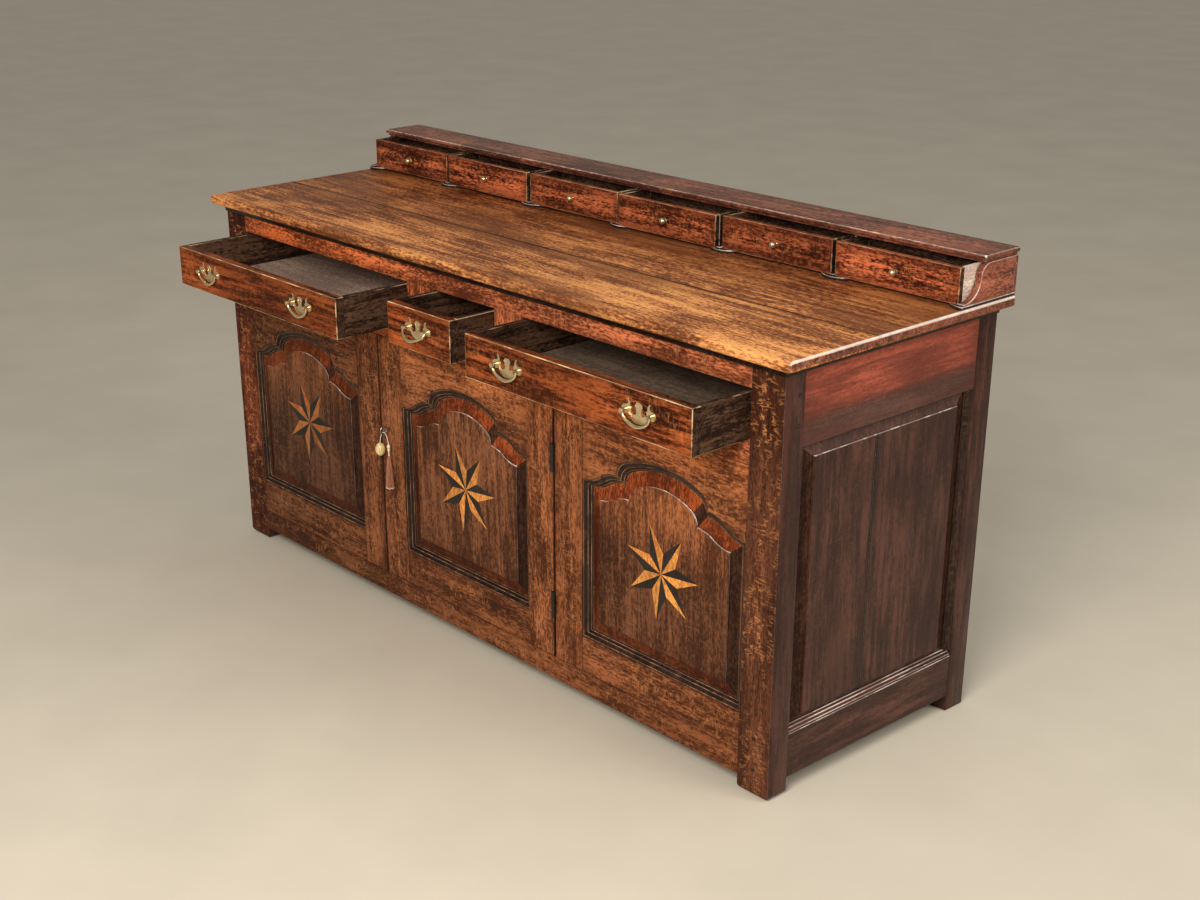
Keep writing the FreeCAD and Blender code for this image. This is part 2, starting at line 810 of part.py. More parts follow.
def runners():
    """Runners below the frieze drawers, guides between them and kickers above."""
    ledge = size.runner_ledge
    lines = {
        "left": (-side_inner, ledge - post_inner),
        "left_middle": (left_muntin[0] - ledge, left_muntin[1] + ledge),
        "right_middle": (right_muntin[0] - ledge, right_muntin[1] + ledge),
        "right": (post_inner - ledge, side_inner),
    }
    guides = {
        "left": (-side_inner, -post_inner),
        "left_middle": left_muntin,
        "right_middle": right_muntin,
        "right": (post_inner, side_inner),
    }
    runner_front = front + size.drawer_rail_depth
    back_end = {"left": back - size.back_post_depth, "right": back - size.back_post_depth}
    pieces = []
    for name, span in lines.items():
        low = (runner_front, back_end.get(name, plank_front))
        high = (runner_front, back_end.get(name, back_rail_front))
        pieces.append(board(f"runner_{name}", span, low,
                            (opening_bottom - size.runner_thickness, opening_bottom)))
        pieces.append(board(f"guide_{name}", guides[name], low,
                            (opening_bottom, opening_bottom + size.guide_height)))
        pieces.append(board(f"kicker_{name}", span, high,
                            (frieze_bottom, frieze_bottom + size.runner_thickness)))
    node("drawer_runners", pieces)


# Table top

def cove_strip(name, ends):
    """A mitred strip of cove moulding, lofted between its two mitred ends."""
    return shaped(name, Part.makeLoft([Part.makePolygon(end + end[:1]) for end in ends], True, True))


def cove_profile():
    """Reach and height of the cove's outline: back, lower fillet, hollow and upper fillet."""
    reach = size.cove_reach.value
    tall = size.cove_height.value
    lip = size.cove_fillet.value
    low = post_top.value - tall
    places = [(0.0, low), (lip, low)]
    for step in range(COVE_STEPS + 1):
        angle = math.pi / 2 * step / COVE_STEPS
        out = reach - (reach - lip) * math.cos(angle)
        places.append((out, low + lip + (tall - 2 * lip) * math.sin(angle)))
    places += [(reach, low + tall), (0.0, low + tall)]
    return places


def table_top():
    """Two boards with a rounded front edge, on a cove moulding round the front and sides."""
    span = (-half_width - size.top_side_overhang, half_width + size.top_side_overhang)
    rise = (post_top, size.top_height)
    back_edge = back + size.top_back_overhang
    joint = back_edge - size.top_back_board_width
    front_edge = front - size.top_front_overhang
    plank = board("top_front_plank", span, (front_edge, joint), rise)
    limit = front_edge.value + size.top_edge_round.value / 2
    high = size.top_height.value - size.top_edge_round.value / 2
    edge = rounded("top_front_board", plank, size.top_edge_round,
                   lambda middle: middle.y < limit and middle.z > high)
    node("top_boards", [edge, board("top_back_board", span, (joint, back_edge), rise)])
    places = cove_profile()
    wide = half_width.value
    ahead = front.value
    behind = back.value
    strips = [cove_strip("cove_front", [
        [point(sign * (wide + reach), ahead - reach, z) for reach, z in places] for sign in (-1, 1)])]
    for hand, sign in (("left", -1), ("right", 1)):
        strips.append(cove_strip(f"cove_{hand}", [
            [point(sign * (wide + reach), ahead - reach, z) for reach, z in places],
            [point(sign * (wide + reach), behind, z) for reach, z in places],
        ]))
    node("top_moulding", strips)


# Gallery

gallery_half = half_width + size.top_side_overhang - size.gallery_end_setback
gallery_back_edge = back + size.top_back_overhang
gallery_back_front = gallery_back_edge - size.gallery_back_thickness
gallery_front = gallery_back_edge - size.gallery_front_depth
gallery_floor = size.top_height + size.gallery_base_thickness
gallery_ceiling = size.top_height + size.gallery_height - size.gallery_top_thickness
bay_width = ((gallery_half - size.gallery_end_thickness) * 2
             - size.gallery_divider_thickness * (SPICE_DRAWERS - 1)) / SPICE_DRAWERS


def bay_start(count):
    """The left side of a spice drawer's bay, counted from the left."""
    step = bay_width + size.gallery_divider_thickness
    return step * count - gallery_half + size.gallery_end_thickness


def gallery_upright(name, low_x, thickness):
    """An end or divider: a shoulder at the top and a hollow sweep down to a toe."""
    x = low_x.value
    floor = gallery_floor.value
    ceiling = gallery_ceiling.value
    neck_y = gallery_front.value
    shoulder = size.gallery_shoulder.value
    neck_z = ceiling - size.gallery_neck_drop.value
    toe_y = neck_y - size.gallery_toe_reach.value
    toe_z = floor + size.gallery_toe_height.value
    behind = gallery_back_front.value
    slant = math.sqrt(0.5)
    sweep_y = neck_y - toe_y
    sweep_z = neck_z - toe_z
    corners = [point(x, toe_y, floor), point(x, behind, floor), point(x, behind, ceiling),
               point(x, neck_y + shoulder, ceiling)]
    shoulder_end = point(x, neck_y, ceiling - shoulder)
    shoulder_middle = point(x, neck_y + shoulder * (1 - slant), ceiling - shoulder * (1 - slant))
    neck = point(x, neck_y, neck_z)
    sweep_middle = point(x, toe_y + sweep_y * slant, neck_z - sweep_z * slant)
    toe = point(x, toe_y, toe_z)
    edges = [line(corners[i], corners[i + 1]) for i in range(3)]
    edges += [arc(corners[3], shoulder_middle, shoulder_end), line(shoulder_end, neck),
              arc(neck, sweep_middle, toe), line(toe, corners[0])]
    face = Part.Face(Part.Wire(edges))
    return shaped(name, face.extrude(point(thickness.value, 0, 0)))


def gallery():
    """Base with rounded tongues, shaped ends and dividers, back and top of the spice drawers' gallery."""
    thick = size.gallery_end_thickness
    ends = [
        gallery_upright("gallery_end_left", -gallery_half, thick),
        gallery_upright("gallery_end_right", gallery_half - thick, thick),
    ]
    node("gallery_ends", ends)
    dividers = []
    middles = [thick / 2 - gallery_half, gallery_half - thick / 2]
    for count in range(1, SPICE_DRAWERS):
        low = bay_start(count) - size.gallery_divider_thickness
        dividers.append(gallery_upright(f"gallery_divider_{count}", low, size.gallery_divider_thickness))
        middles.append(low + size.gallery_divider_thickness / 2)
    node("gallery_dividers", dividers)
    span = (-gallery_half, gallery_half)
    rise = (size.top_height, gallery_floor)
    plate = board("gallery_base_board", span, (gallery_front, gallery_back_edge), rise)
    tongue_y = gallery_front - size.gallery_tongue_reach + size.gallery_tongue_radius
    tongues = [
        rod(f"gallery_tongue_{i}", (middle, tongue_y, size.top_height), (0, 0, 1), size.gallery_tongue_radius,
            size.gallery_base_thickness)
        for i, middle in enumerate(middles)
    ]
    trim = board("gallery_base_limit", span,
                 (gallery_front - size.gallery_tongue_reach - size.overrun, gallery_back_edge), rise)
    base = doc.addObject("Part::Common", "gallery_base_trimmed")
    base.Base = fuse("gallery_base_blank", [plate] + tongues)
    base.Tool = trim
    node("gallery_base", [base])
    node("gallery_back", [board("gallery_back_board", span, (gallery_back_front, gallery_back_edge),
                                (gallery_floor, gallery_ceiling))])
    gallery_cap()


def gallery_cap():
    """The gallery's top: a board with a rounded nose over a narrower one."""
    half = gallery_half + size.gallery_top_overhang
    nose_half = half - size.gallery_nose_reach
    start = gallery_back_edge - size.gallery_top_depth
    peak = size.top_height + size.gallery_height
    fold = peak - size.gallery_nose_thickness
    slab = board("gallery_cap_slab", (-half, half), (start, gallery_back_edge), (fold, peak))
    top_z = peak.value - size.panel_fit.value
    rear_y = gallery_back_edge.value - size.panel_fit.value
    nose = rounded("gallery_cap_nose", slab, size.gallery_nose_round,
                   lambda middle: middle.z > top_z and middle.y < rear_y)
    under = board("gallery_cap_under", (-nose_half, nose_half),
                  (start + size.gallery_nose_reach, gallery_back_edge), (gallery_ceiling, fold))
    node("gallery_top", [fuse("gallery_cap", [nose, under])])


def spice_drawers():
    """Six small drawers, each with its brass knob."""
    for count in range(SPICE_DRAWERS):
        name = f"spice_drawer_{count + 1}"
        out = getattr(size, f"{name}_out")
        start = bay_start(count)
        left = start + size.spice_side_gap
        right = start + bay_width - size.spice_side_gap
        face = gallery_front - out
        behind = face + size.spice_front_thickness
        rear = face + size.spice_depth
        low = gallery_floor + size.seat_gap
        high = gallery_ceiling - size.spice_top_gap
        thick = size.spice_board_thickness
        node(name, [
            board(f"{name}_front", (left, right), (face, behind), (low, high)),
            board(f"{name}_left", (left, left + thick), (behind, rear), (low, high)),
            board(f"{name}_right", (right - thick, right), (behind, rear), (low, high)),
            board(f"{name}_back", (left + thick, right - thick), (rear - thick, rear), (low, high)),
            board(f"{name}_bottom", (left + thick, right - thick), (behind, rear - thick),
                  (low, low + size.spice_bottom_thickness)),
        ])
        x = (left + right) / 2
        z = (low + high) / 2
        stem_end = face - size.knob_reach + size.knob_radius
        node(f"spice_knob_{count + 1}", [fuse(f"spice_knob_blank_{count + 1}", [
            rod(f"knob_rose_{count + 1}", (x, face, z), (0, -1, 0), size.knob_rose_radius,
                size.knob_rose_thickness),
            rod(f"knob_stem_{count + 1}", (x, face, z), (0, -1, 0), size.knob_stem_radius,
                size.knob_reach - size.knob_radius),
            ball(f"knob_ball_{count + 1}", (x, stem_end, z), size.knob_radius),
        ])])


# Frieze drawers and their handles

def plate_shape(centre_x, face, pivot_z):
    """A swan-neck back plate with its horns and its two open piercings."""
    half_x = size.plate_half_width.value
    half_z = size.plate_half_height.value

    def spot(shares, sign):
        x = centre_x.value + sign * shares[0] * half_x
        return point(x, face.value, pivot_z.value + shares[1] * half_z)

    right = []
    here = PLATE_START_SHARES
    for middle, end in PLATE_ARC_SHARES:
        right.append((here, middle, end))
        here = end
    edges = [arc(spot(start, 1), spot(middle, 1), spot(end, 1)) for start, middle, end in right]
    edges += [arc(spot(end, -1), spot(middle, -1), spot(start, -1)) for start, middle, end in reversed(right)]
    return Part.Face(Part.Wire(edges)).extrude(point(0, -size.plate_thickness.value, 0))


def handle_plates(name, centres, face, pivot_z):
    """Back plates, each with the two bored posts that carry a bail."""
    pieces = []
    plate_face = face - size.plate_thickness
    axis_y = plate_face - size.bail_axis_reach
    for count, centre in enumerate(centres):
        parts = [shaped(f"{name}_plate_{count}", plate_shape(centre, face, pivot_z))]
        bores = []
        for hand, sign in (("left", -1), ("right", 1)):
            x = centre + size.handle_post_spread * sign
            post = rod(f"{name}_post_{count}_{hand}", (x, plate_face, pivot_z), (0, -1, 0),
                       size.handle_post_radius, size.handle_reach)
            parts.append(post)
            past = size.handle_post_radius + size.overrun
            bores.append(rod(f"{name}_bore_{count}_{hand}", (x - past, axis_y, pivot_z), (1, 0, 0),
                             size.bail_rod_radius + size.running_clearance, past * 2))
        blank = fuse(f"{name}_blank_{count}", parts)
        pieces.append(cut(f"{name}_plate_bored_{count}", blank, group(f"{name}_bores_{count}", bores)))
    node(name, pieces)


def bail(name, centre, face, pivot_z, lift):
    """A drop handle: one bent rod whose ends turn in the bores of its posts."""
    half = size.bail_half_width.value
    corner = size.bail_corner_radius.value
    drop = size.bail_drop.value
    pin = size.handle_post_spread.value + size.handle_post_radius.value
    turn = 2 * math.atan2(drop, half)

    def spot(x, z):
        return point(x, 0, z)

    def bend(sign, angle):
        return spot(sign * (half - corner * math.sin(angle)), -corner * (1 - math.cos(angle)))

    path = Part.Wire([
        line(spot(-pin, 0), bend(-1, 0)),
        arc(bend(-1, 0), bend(-1, turn / 2), bend(-1, turn)),
        arc(bend(-1, turn), spot(0, -drop), bend(1, turn)),
        arc(bend(1, turn), bend(1, turn / 2), bend(1, 0)),
        line(bend(1, 0), spot(pin, 0)),
    ])
    section = Part.Wire(Part.makeCircle(size.bail_rod_radius.value, spot(-pin, 0), point(1, 0, 0)))
    piece = shaped(f"{name}_rod", path.makePipeShell([section], True, True))
    piece.Placement = FreeCAD.Placement(FreeCAD.Vector(), FreeCAD.Rotation(FreeCAD.Vector(1, 0, 0), -lift))
    place(piece, (centre, face - size.plate_thickness - size.bail_axis_reach, pivot_z))
    node(name, [piece])


def frieze_drawers():
    """Three drawers with nailed-up boxes, swan-neck plates and bails."""
    spans = {
        "left": (-post_inner, left_muntin[0]),
        "centre": (left_muntin[1], right_muntin[0]),
        "right": (right_muntin[1], post_inner),
    }
    for hand, (start, end) in spans.items():
        name = f"{hand}_drawer"
        face = front - getattr(size, f"{name}_out")
        left = start + size.drawer_side_gap
        right = end - size.drawer_side_gap
        behind = face + size.drawer_front_thickness
        rear = face + size.drawer_depth
        low = opening_bottom + size.seat_gap
        high = frieze_bottom - size.drawer_top_gap
        thick = size.drawer_board_thickness
        floor = low + size.drawer_bottom_lift
        node(name, [
            board(f"{name}_front", (left, right), (face, behind), (low, high)),
            board(f"{name}_left_side", (left, left + thick), (behind, rear), (low, high)),
            board(f"{name}_right_side", (right - thick, right), (behind, rear), (low, high)),
            board(f"{name}_back", (left + thick, right - thick), (rear - thick, rear), (low, high)),
            board(f"{name}_bottom", (left + thick, right - thick), (behind, rear - thick),
                  (floor, floor + size.drawer_bottom_thickness)),
        ])
        middle = (left + right) / 2
        pivot_z = (low + high) / 2 + size.handle_lift
        if hand == "centre":
            centres = {"bail": (middle, CENTRE_BAIL_LIFT)}
        else:
            spread = (right - left) * HANDLE_SPREAD_SHARE
            centres = {
                "left_bail": (middle - spread, 0),
                "right_bail": (middle + spread, 0),
            }
        handle_plates(f"{name}_plates", [centre for centre, _ in centres.values()], face, pivot_z)
        for part, (centre, lift) in centres.items():
            bail(f"{name}_{part}", centre, face, pivot_z, lift)


# Door, hinges, lock, key and tassel

door_left = size.door_gap - door_half
door_right = door_half - size.door_hinge_gap
door_low = base_top + size.door_gap
door_high = frame_top - size.door_gap
door_centre = (door_left + door_right) / 2
door_panel_width = door_right - door_left - size.door_stile_width * 2
hinge_x = door_half - size.door_hinge_gap / 2
hinge_y = front - size.knuckle_radius - size.knuckle_stand_off
key_x = door_left + size.keyhole_edge_distance
key_z = size.keyhole_height


def door():
    """A framed door with an arched fielded panel and its star."""
    depth = (front, frame_back)
    tall = (door_low, door_high)
    rail = (door_left + size.door_stile_width, door_right - size.door_stile_width)
    left_stile = board("door_left_stick", (door_left, rail[0]), depth, tall)
    keyhole = rod("door_keyhole", (key_x, front - size.overrun, key_z), (0, 1, 0),
                  size.key_shank_radius + size.running_clearance, size.rail_thickness + size.overrun * 2)
    node("door_frame", [
        cut("door_left_stile", left_stile, keyhole),
        board("door_right_stile", (rail[1], door_right), depth, tall),
        board("door_bottom_rail", rail, depth, (door_low, panel_bottom)),
        arched_rail("door_arched_rail", door_centre, door_panel_width, door_high),
    ])
    node("door_panel", [fielded_panel("door_field", door_centre, door_panel_width)])
    node("door_moulding", [panel_moulding("door_panel_moulding", door_centre, door_panel_width)])
    node("door_star_light", star_halves("door_light", door_centre, True))
    node("door_star_dark", star_halves("door_dark", door_centre, False))


def hinge_leaf(name, low, edge_x, leaf_x, knuckles):
    """A leaf in the door's joint with the knuckles that stand in front of it."""
    high = low + size.hinge_height
    plate_front = front + size.hinge_leaf_gap
    parts = [board(f"{name}_plate", edge_x, (plate_front, front + size.hinge_leaf_width), (low, high))]
    for count, (start_share, end_share) in enumerate(knuckles):
        start = low + size.hinge_height * start_share + size.knuckle_gap / 2
        end = low + size.hinge_height * end_share - size.knuckle_gap / 2
        parts.append(rod(f"{name}_knuckle_{count}", (hinge_x, hinge_y, start), (0, 0, 1),
                         size.knuckle_radius, end - start))
        parts.append(board(f"{name}_neck_{count}", leaf_x, (hinge_y, plate_front), (start, end)))
    bore = rod(f"{name}_bore", (hinge_x, hinge_y, low - size.overrun), (0, 0, 1),
               size.hinge_pin_radius + size.running_clearance, size.hinge_height + size.overrun * 2)
    return cut(name, fuse(f"{name}_blank", parts), bore)


def hinges():
    """Two butt hinges on the right of the door, each with a loose pin in the fixed leaf."""
    shares = KNUCKLE_SHARES
    lows = {"upper": frame_top - size.upper_hinge_drop - size.hinge_height / 2,
            "lower": base_top + size.lower_hinge_lift - size.hinge_height / 2}
    fixed = []
    moving = []
    for place_name, low in lows.items():
        fixed_x = (door_half - size.hinge_leaf_thickness, door_half)
        door_x = (door_right, door_right + size.hinge_leaf_thickness)
        outer = ((shares[0], shares[1]), (shares[2], shares[3]))
        inner = ((shares[1], shares[2]),)
        fixed.append(hinge_leaf(f"{place_name}_fixed_leaf", low, fixed_x, fixed_x, outer))
        head = rod(f"{place_name}_pin_head", (hinge_x, hinge_y, low + size.hinge_height), (0, 0, 1),
                   size.knuckle_radius, size.hinge_pin_head)
        shank = rod(f"{place_name}_pin_shank", (hinge_x, hinge_y, low), (0, 0, 1), size.hinge_pin_radius,
                    size.hinge_height + size.hinge_pin_head)
        fixed.append(fuse(f"{place_name}_pin", [head, shank]))
        moving.append(hinge_leaf(f"{place_name}_door_leaf", low, door_x, door_x, inner))
    node("hinge_fixed_leaves", fixed)
    node("hinge_door_leaves", moving)


def lock_and_key():
    """A lock case behind the left stile, its sliding bolt, and the key that throws it."""
    lock_left = door_left + size.lock_edge_setback
    lock_right = lock_left + size.lock_width
    low = key_z - size.lock_height / 2
    high = key_z + size.lock_height / 2
    case_back = frame_back + size.lock_depth
    wall = size.lock_wall
    shell = board("lock_shell", (lock_left, lock_right), (frame_back, case_back), (low, high))
    hollow = board("lock_hollow", (lock_left + wall, lock_right - wall),
                   (frame_back - size.overrun, case_back - wall), (low + wall, high - wall))
    bolt_low = key_z + size.bolt_lift
    bolt_high = bolt_low + size.bolt_height
    bolt_front = frame_back + size.bolt_fit
    bolt_back = bolt_front + size.bolt_thickness
    slot = board("lock_slot", (lock_left - size.overrun, lock_left + wall + size.overrun),
                 (frame_back - size.overrun, bolt_back + size.bolt_fit),
                 (bolt_low - size.bolt_fit, bolt_high + size.bolt_fit))
    node("door_lock", [cut("lock_case", shell, group("lock_cuts", [hollow, slot]))])
    bolt_span = (lock_left, lock_left + size.bolt_length)
    node("lock_bolt", [board("lock_bolt_bar", bolt_span, (bolt_front, bolt_back), (bolt_low, bolt_high))])
    inner_end = case_back - wall - size.bolt_fit
    shank_front = inner_end - size.key_shank_length
    bow_y = shank_front - size.key_bow_radius
    shank = rod("key_shank", (key_x, inner_end, key_z), (0, -1, 0), size.key_shank_radius,
                size.key_shank_length)
    bit = board("key_bit", (key_x - size.key_bit_thickness / 2, key_x + size.key_bit_thickness / 2),
                (inner_end - size.key_bit_width, inner_end), (key_z - size.key_bit_length, key_z))
    bow = doc.addObject("Part::Torus", "key_bow")
    bow.Placement = FreeCAD.Placement(FreeCAD.Vector(), FreeCAD.Rotation(FreeCAD.Vector(0, 1, 0), 90))
    bow.setExpression("Radius1", size.key_bow_radius.formula)
    bow.setExpression("Radius2", size.key_bow_bar_radius.formula)
    place(bow, (key_x, bow_y, key_z))
    node("key", [fuse("key_whole", [shank, bit, bow])])
    key_tassel(key_x.value, bow_y.value, key_z.value - size.key_bow_radius.value)


def cord_tube(points, radius):
    """A tube along a route of straight runs joined by tangent arcs, each as large as its runs allow."""
    edges = []
    start = points[0]
    for before, here, after in zip(points, points[1:], points[2:]):
        to_before = before - here
        to_after = after - here
        shorter = min(to_before.Length, to_after.Length)
        to_before.normalize()
        to_after.normalize()
        half_turn = (math.pi - to_before.getAngle(to_after)) / 2
        trim = CORD_BEND_SHARE * shorter
        bend = trim / math.tan(half_turn)
        inward = to_before + to_after
        inward.normalize()
        middle = here + inward * (bend / math.cos(half_turn) - bend)
        first = here + to_before * trim
        last = here + to_after * trim
        print(f"key cord bend radius {bend:.2f} mm")
        edges += [line(start, first), arc(first, middle, last)]
        start = last
    edges.append(line(start, points[-1]))
    path = Part.Wire(edges)
    section = Part.Wire(Part.makeCircle(radius, points[0], points[1] - points[0]))
    tube = path.makePipeShell([section], True, False)
    expected = math.pi * radius * radius * path.Length
    print(f"key cord volume is {tube.Volume / expected:.4f} of its section times its length")
    return tube


def key_tassel(bar_x, bar_y, bar_z):
    """A cord over the bow's lower bar, with an oval bead on one end and a tassel on the other."""
    route = [point(bar_x + x, bar_y + y, bar_z + z) for x, y, z in KEY_CORD_ROUTE]
    node("key_cord", [shaped("key_cord_tube", cord_tube(route, size.key_cord_radius.value))])
    half = size.bead_half_height.value
    drop = size.bead_drop_radius.value
    oval = doc.addObject("Part::Ellipsoid", "bead_oval")
    oval.setExpression("Radius1", size.bead_half_height.formula)
    oval.setExpression("Radius2", size.bead_radius.formula)
    oval.setExpression("Radius3", size.bead_radius.formula)
    oval.Placement = FreeCAD.Placement(route[0] - point(0, 0, half), FreeCAD.Rotation())
    end_bead = Part.makeSphere(drop, route[0] - point(0, 0, 2 * half + drop))
    node("key_bead", [oval, shaped("bead_end", end_bead)])
    top = route[-1]
    wide = size.tassel_skirt_radius.value
    long = size.tassel_length.value
    outline = [point(top.x, top.y, top.z)]
    outline += [point(top.x + r * wide, top.y, top.z - d * long) for r, d in TASSEL_SHARES]
    outline.append(point(top.x, top.y, top.z - long))
    profile = Part.Face(Part.makePolygon(outline + outline[:1]))
    node("key_tassel", [shaped("tassel_turned", profile.revolve(top, point(0, 0, 1), 360))])


def check_and_write():
    """Refuses a failed object or shape, then writes one file for each node."""
    doc.recompute()
    for piece in doc.Objects:
        if "Invalid" in piece.State or "Error" in piece.State:
            raise RuntimeError(f"{piece.Name} failed: {piece.State}")
    for label, piece in nodes.items():
        if piece.Shape.isNull() or not piece.Shape.isValid():
            raise RuntimeError(f"{label} has no valid shape")
    os.makedirs("parts", exist_ok=True)
    for label, piece in nodes.items():
        piece.Shape.exportStep(os.path.join("parts", f"{label}.step"))
    print(f"{len(nodes)} nodes written")


posts()
front_rails()
fixed_panels()
sides()
back_and_floor()
runners()
table_top()
gallery()
spice_drawers()
frieze_drawers()
door()
hinges()
lock_and_key()
check_and_write()
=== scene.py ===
"""Finishes a low oak kitchen dresser: worn timber, star inlay, brass handles and a key with its tassel."""

import json
import math
import random

import bmesh
import bpy
from bpy.props import FloatProperty, FloatVectorProperty, IntProperty, PointerProperty
from mathutils import Matrix, Vector


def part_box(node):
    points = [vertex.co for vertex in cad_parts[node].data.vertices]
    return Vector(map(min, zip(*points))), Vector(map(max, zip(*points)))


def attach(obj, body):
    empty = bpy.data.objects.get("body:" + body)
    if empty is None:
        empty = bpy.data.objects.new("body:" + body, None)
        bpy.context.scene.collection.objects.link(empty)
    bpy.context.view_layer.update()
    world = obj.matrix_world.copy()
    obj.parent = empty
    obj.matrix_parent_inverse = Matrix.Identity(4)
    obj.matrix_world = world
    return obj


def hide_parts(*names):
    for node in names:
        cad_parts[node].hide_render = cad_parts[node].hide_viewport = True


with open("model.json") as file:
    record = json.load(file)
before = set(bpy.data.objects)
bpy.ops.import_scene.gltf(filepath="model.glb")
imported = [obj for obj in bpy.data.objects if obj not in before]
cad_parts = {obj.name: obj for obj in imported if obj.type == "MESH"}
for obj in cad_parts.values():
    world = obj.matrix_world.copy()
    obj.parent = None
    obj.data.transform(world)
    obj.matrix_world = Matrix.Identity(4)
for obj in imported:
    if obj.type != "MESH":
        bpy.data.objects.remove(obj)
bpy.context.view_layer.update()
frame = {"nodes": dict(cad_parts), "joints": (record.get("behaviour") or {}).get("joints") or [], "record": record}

bl_info = {
    "name": "Oak dresser finish",
    "version": (1, 0, 0),
    "blender": (4, 5, 0),
    "location": "3D View > Sidebar > Dresser",
    "description": "Dresses the frame of an oak kitchen dresser with worn timber, inlay, brass and a tassel",
    "category": "Object",
}

body_of = {node: body for body, nodes in frame["record"]["behaviour"]["bodies"].items() for node in nodes}
joint_place = {joint["name"]: Vector(joint.get("pos_m", (0, 0, 0))) for joint in frame["joints"]}

FRIEZE_DRAWERS = ("left_drawer", "centre_drawer", "right_drawer")
BAILS = (
    "left_drawer_left_bail", "left_drawer_right_bail", "centre_drawer_bail",
    "right_drawer_left_bail", "right_drawer_right_bail",
)
SPICE_COUNT = 6

# Angles, shares of a normal and small lengths that tell edges and faces apart
WELD = 1e-6
SHARP_ANGLE = math.radians(28)
SMOOTH_ANGLE = math.radians(24)
CRISP_ANGLE = math.radians(11)
LEVEL_ANGLE = math.radians(0.5)
FLAT_SHARE = 0.985
OUTSIDE_REACH = 0.012
END_SHARE = 0.7
SHADED_SLOPE = 0.12
UPPER_SLOPE = 0.05
NOSE_LOW = 0.55
NOSE_HIGH = 0.95
JOINT_NEAR = 0.006
JOINT_FAR = 0.040
JOINT_SHARE = 0.25
SEAT_MARGIN = 1.1
BEAD_END_HEIGHT = 0.004

# Painted highlights on rounded arrises: the way an arris must face to catch the light, and the shares between
# which its painted highlight brightens
FRONT_LIGHT = (Vector((0.50, -0.30, 0.81)), 0.50, 0.85)
SIDE_LIGHT = (Vector((0.45, 0.20, 0.87)), 0.55, 0.85)
EDGE_LIGHT = (Vector((0.75, 0.0, 0.66)), 0.70, 0.95)
MOULDING_LIGHT = (Vector((0.25, -0.30, 0.92)), -1.2, 0.95)

# The sweep of a bail from pin to pin
BAIL_STEPS = 48
BAIL_SQUARENESS = 1.35
BAIL_FULLNESS = 0.9

# Route of the key's cord, as offsets from the middle of the bow's lower bar, in metres
KEY_CORD_ROUTE = (
    (-0.0100, -0.0040, -0.0225),
    (-0.0085, -0.0032, -0.0090),
    (-0.0036, -0.0009, 0.0031),
    (0.0036, 0.0009, 0.0031),
    (0.0085, 0.0032, -0.0090),
    (0.0100, 0.0042, -0.0225),
)

# Outlines of the tassel's bound head and of its skirt, as shares of the skirt's radius and of the fall
TASSEL_HEAD_SHARES = (
    (0.0, 0.0), (0.18, 0.008), (0.34, 0.035), (0.38, 0.06), (0.33, 0.085), (0.16, 0.108), (0.25, 0.122),
    (0.27, 0.14), (0.22, 0.158), (0.13, 0.172), (0.12, 0.26), (0.0, 0.26),
)
TASSEL_SKIRT_SHARES = ((0.13, 0.23), (0.46, 0.40), (0.68, 0.54), (0.82, 0.70), (0.98, 1.0))
TASSEL_HEAD_FALL = 0.24
GOLDEN_SHARE = 0.618034

# Thin dark joints drawn between the boards of the top and of the ends' panels, and beside the door dark lines
# painted as the shadow in its gaps
SEAM_WIDTH = 0.0050
DOOR_GAP_SHADOW_WIDTH = 0.0048
SEAM_SHARE = 0.88
SEAM_SHADE = (0.16, 0.13, 0.12)

# Noise of the finishes, in cycles per metre along the grain and across it, or along x, y and z
STREAKS = (5, 75, 75)
SPECKLES = (95, 270, 270)
BLOTS = (5, 10, 10)
RIPPLES = (120, 34, 34)
RAY_PATCHES = (7, 12, 12)
RAY_STROKES = (40, 60, 60)
PORES = (30, 330, 330)
STAINS = (2.2, 5, 5)
CHIPS = (11, 40, 40)
SLIP_SPECKS = (260, 420, 420)
BONE_GRAIN = (260, 260, 60)
SILK_STRANDS = (1500, 1500, 60)
FLOOR_MOTTLE = (3, 3, 3)
DENTS_IN_PATCH = 5

# Shares of red, green and blue that stain, pores, the darkening near board edges, specks and tarnish leave of a
# colour
FULL_COLOUR = (1.0, 1.0, 1.0)
STAIN_SHARES = (0.26, 0.24, 0.26)
PORE_SHARES = (0.20, 0.18, 0.20)
EDGE_DARKENING_SHARES = (0.24, 0.22, 0.24)
SPECK_SHARES = (0.25, 0.20, 0.20)
TARNISH_SHARES = (0.34, 0.28, 0.20)

# How far the oak's tone goes below its colour and above it, and how much of it comes from broad blots
TONE_DARK = (0.80, 0.82, 0.80)
TONE_MIDDLE = (0.18, 0.18, 0.18)
TONE_LIGHT = (1.05, 1.10, 1.00)
TONE_SPAN = (0.41, 0.59)
BLOT_SHARE = 0.28

# How dark and how light chance may make a board, or a slip of inlay
BOARD_SHADES = (0.84, 1.16)
SLIP_SHADES = (0.72, 1.12)

# How roughness and relief follow chips, pores, tone and tarnish
CHIP_ROUGHNESS = 0.16
PORE_ROUGHNESS = 0.20
TARNISH_ROUGHNESS = 0.22
COAT_ROUGHNESS = 0.12
TONE_HEIGHT = 0.4

# How far wear, and the darkening near board edges, reach in from an arris, in metres, and how the reach follows
# the chips
LEAST_WEAR = 0.0001
EDGE_DARKENING_REACH = 0.035
CHIP_REACH = (8.0, -3.6)
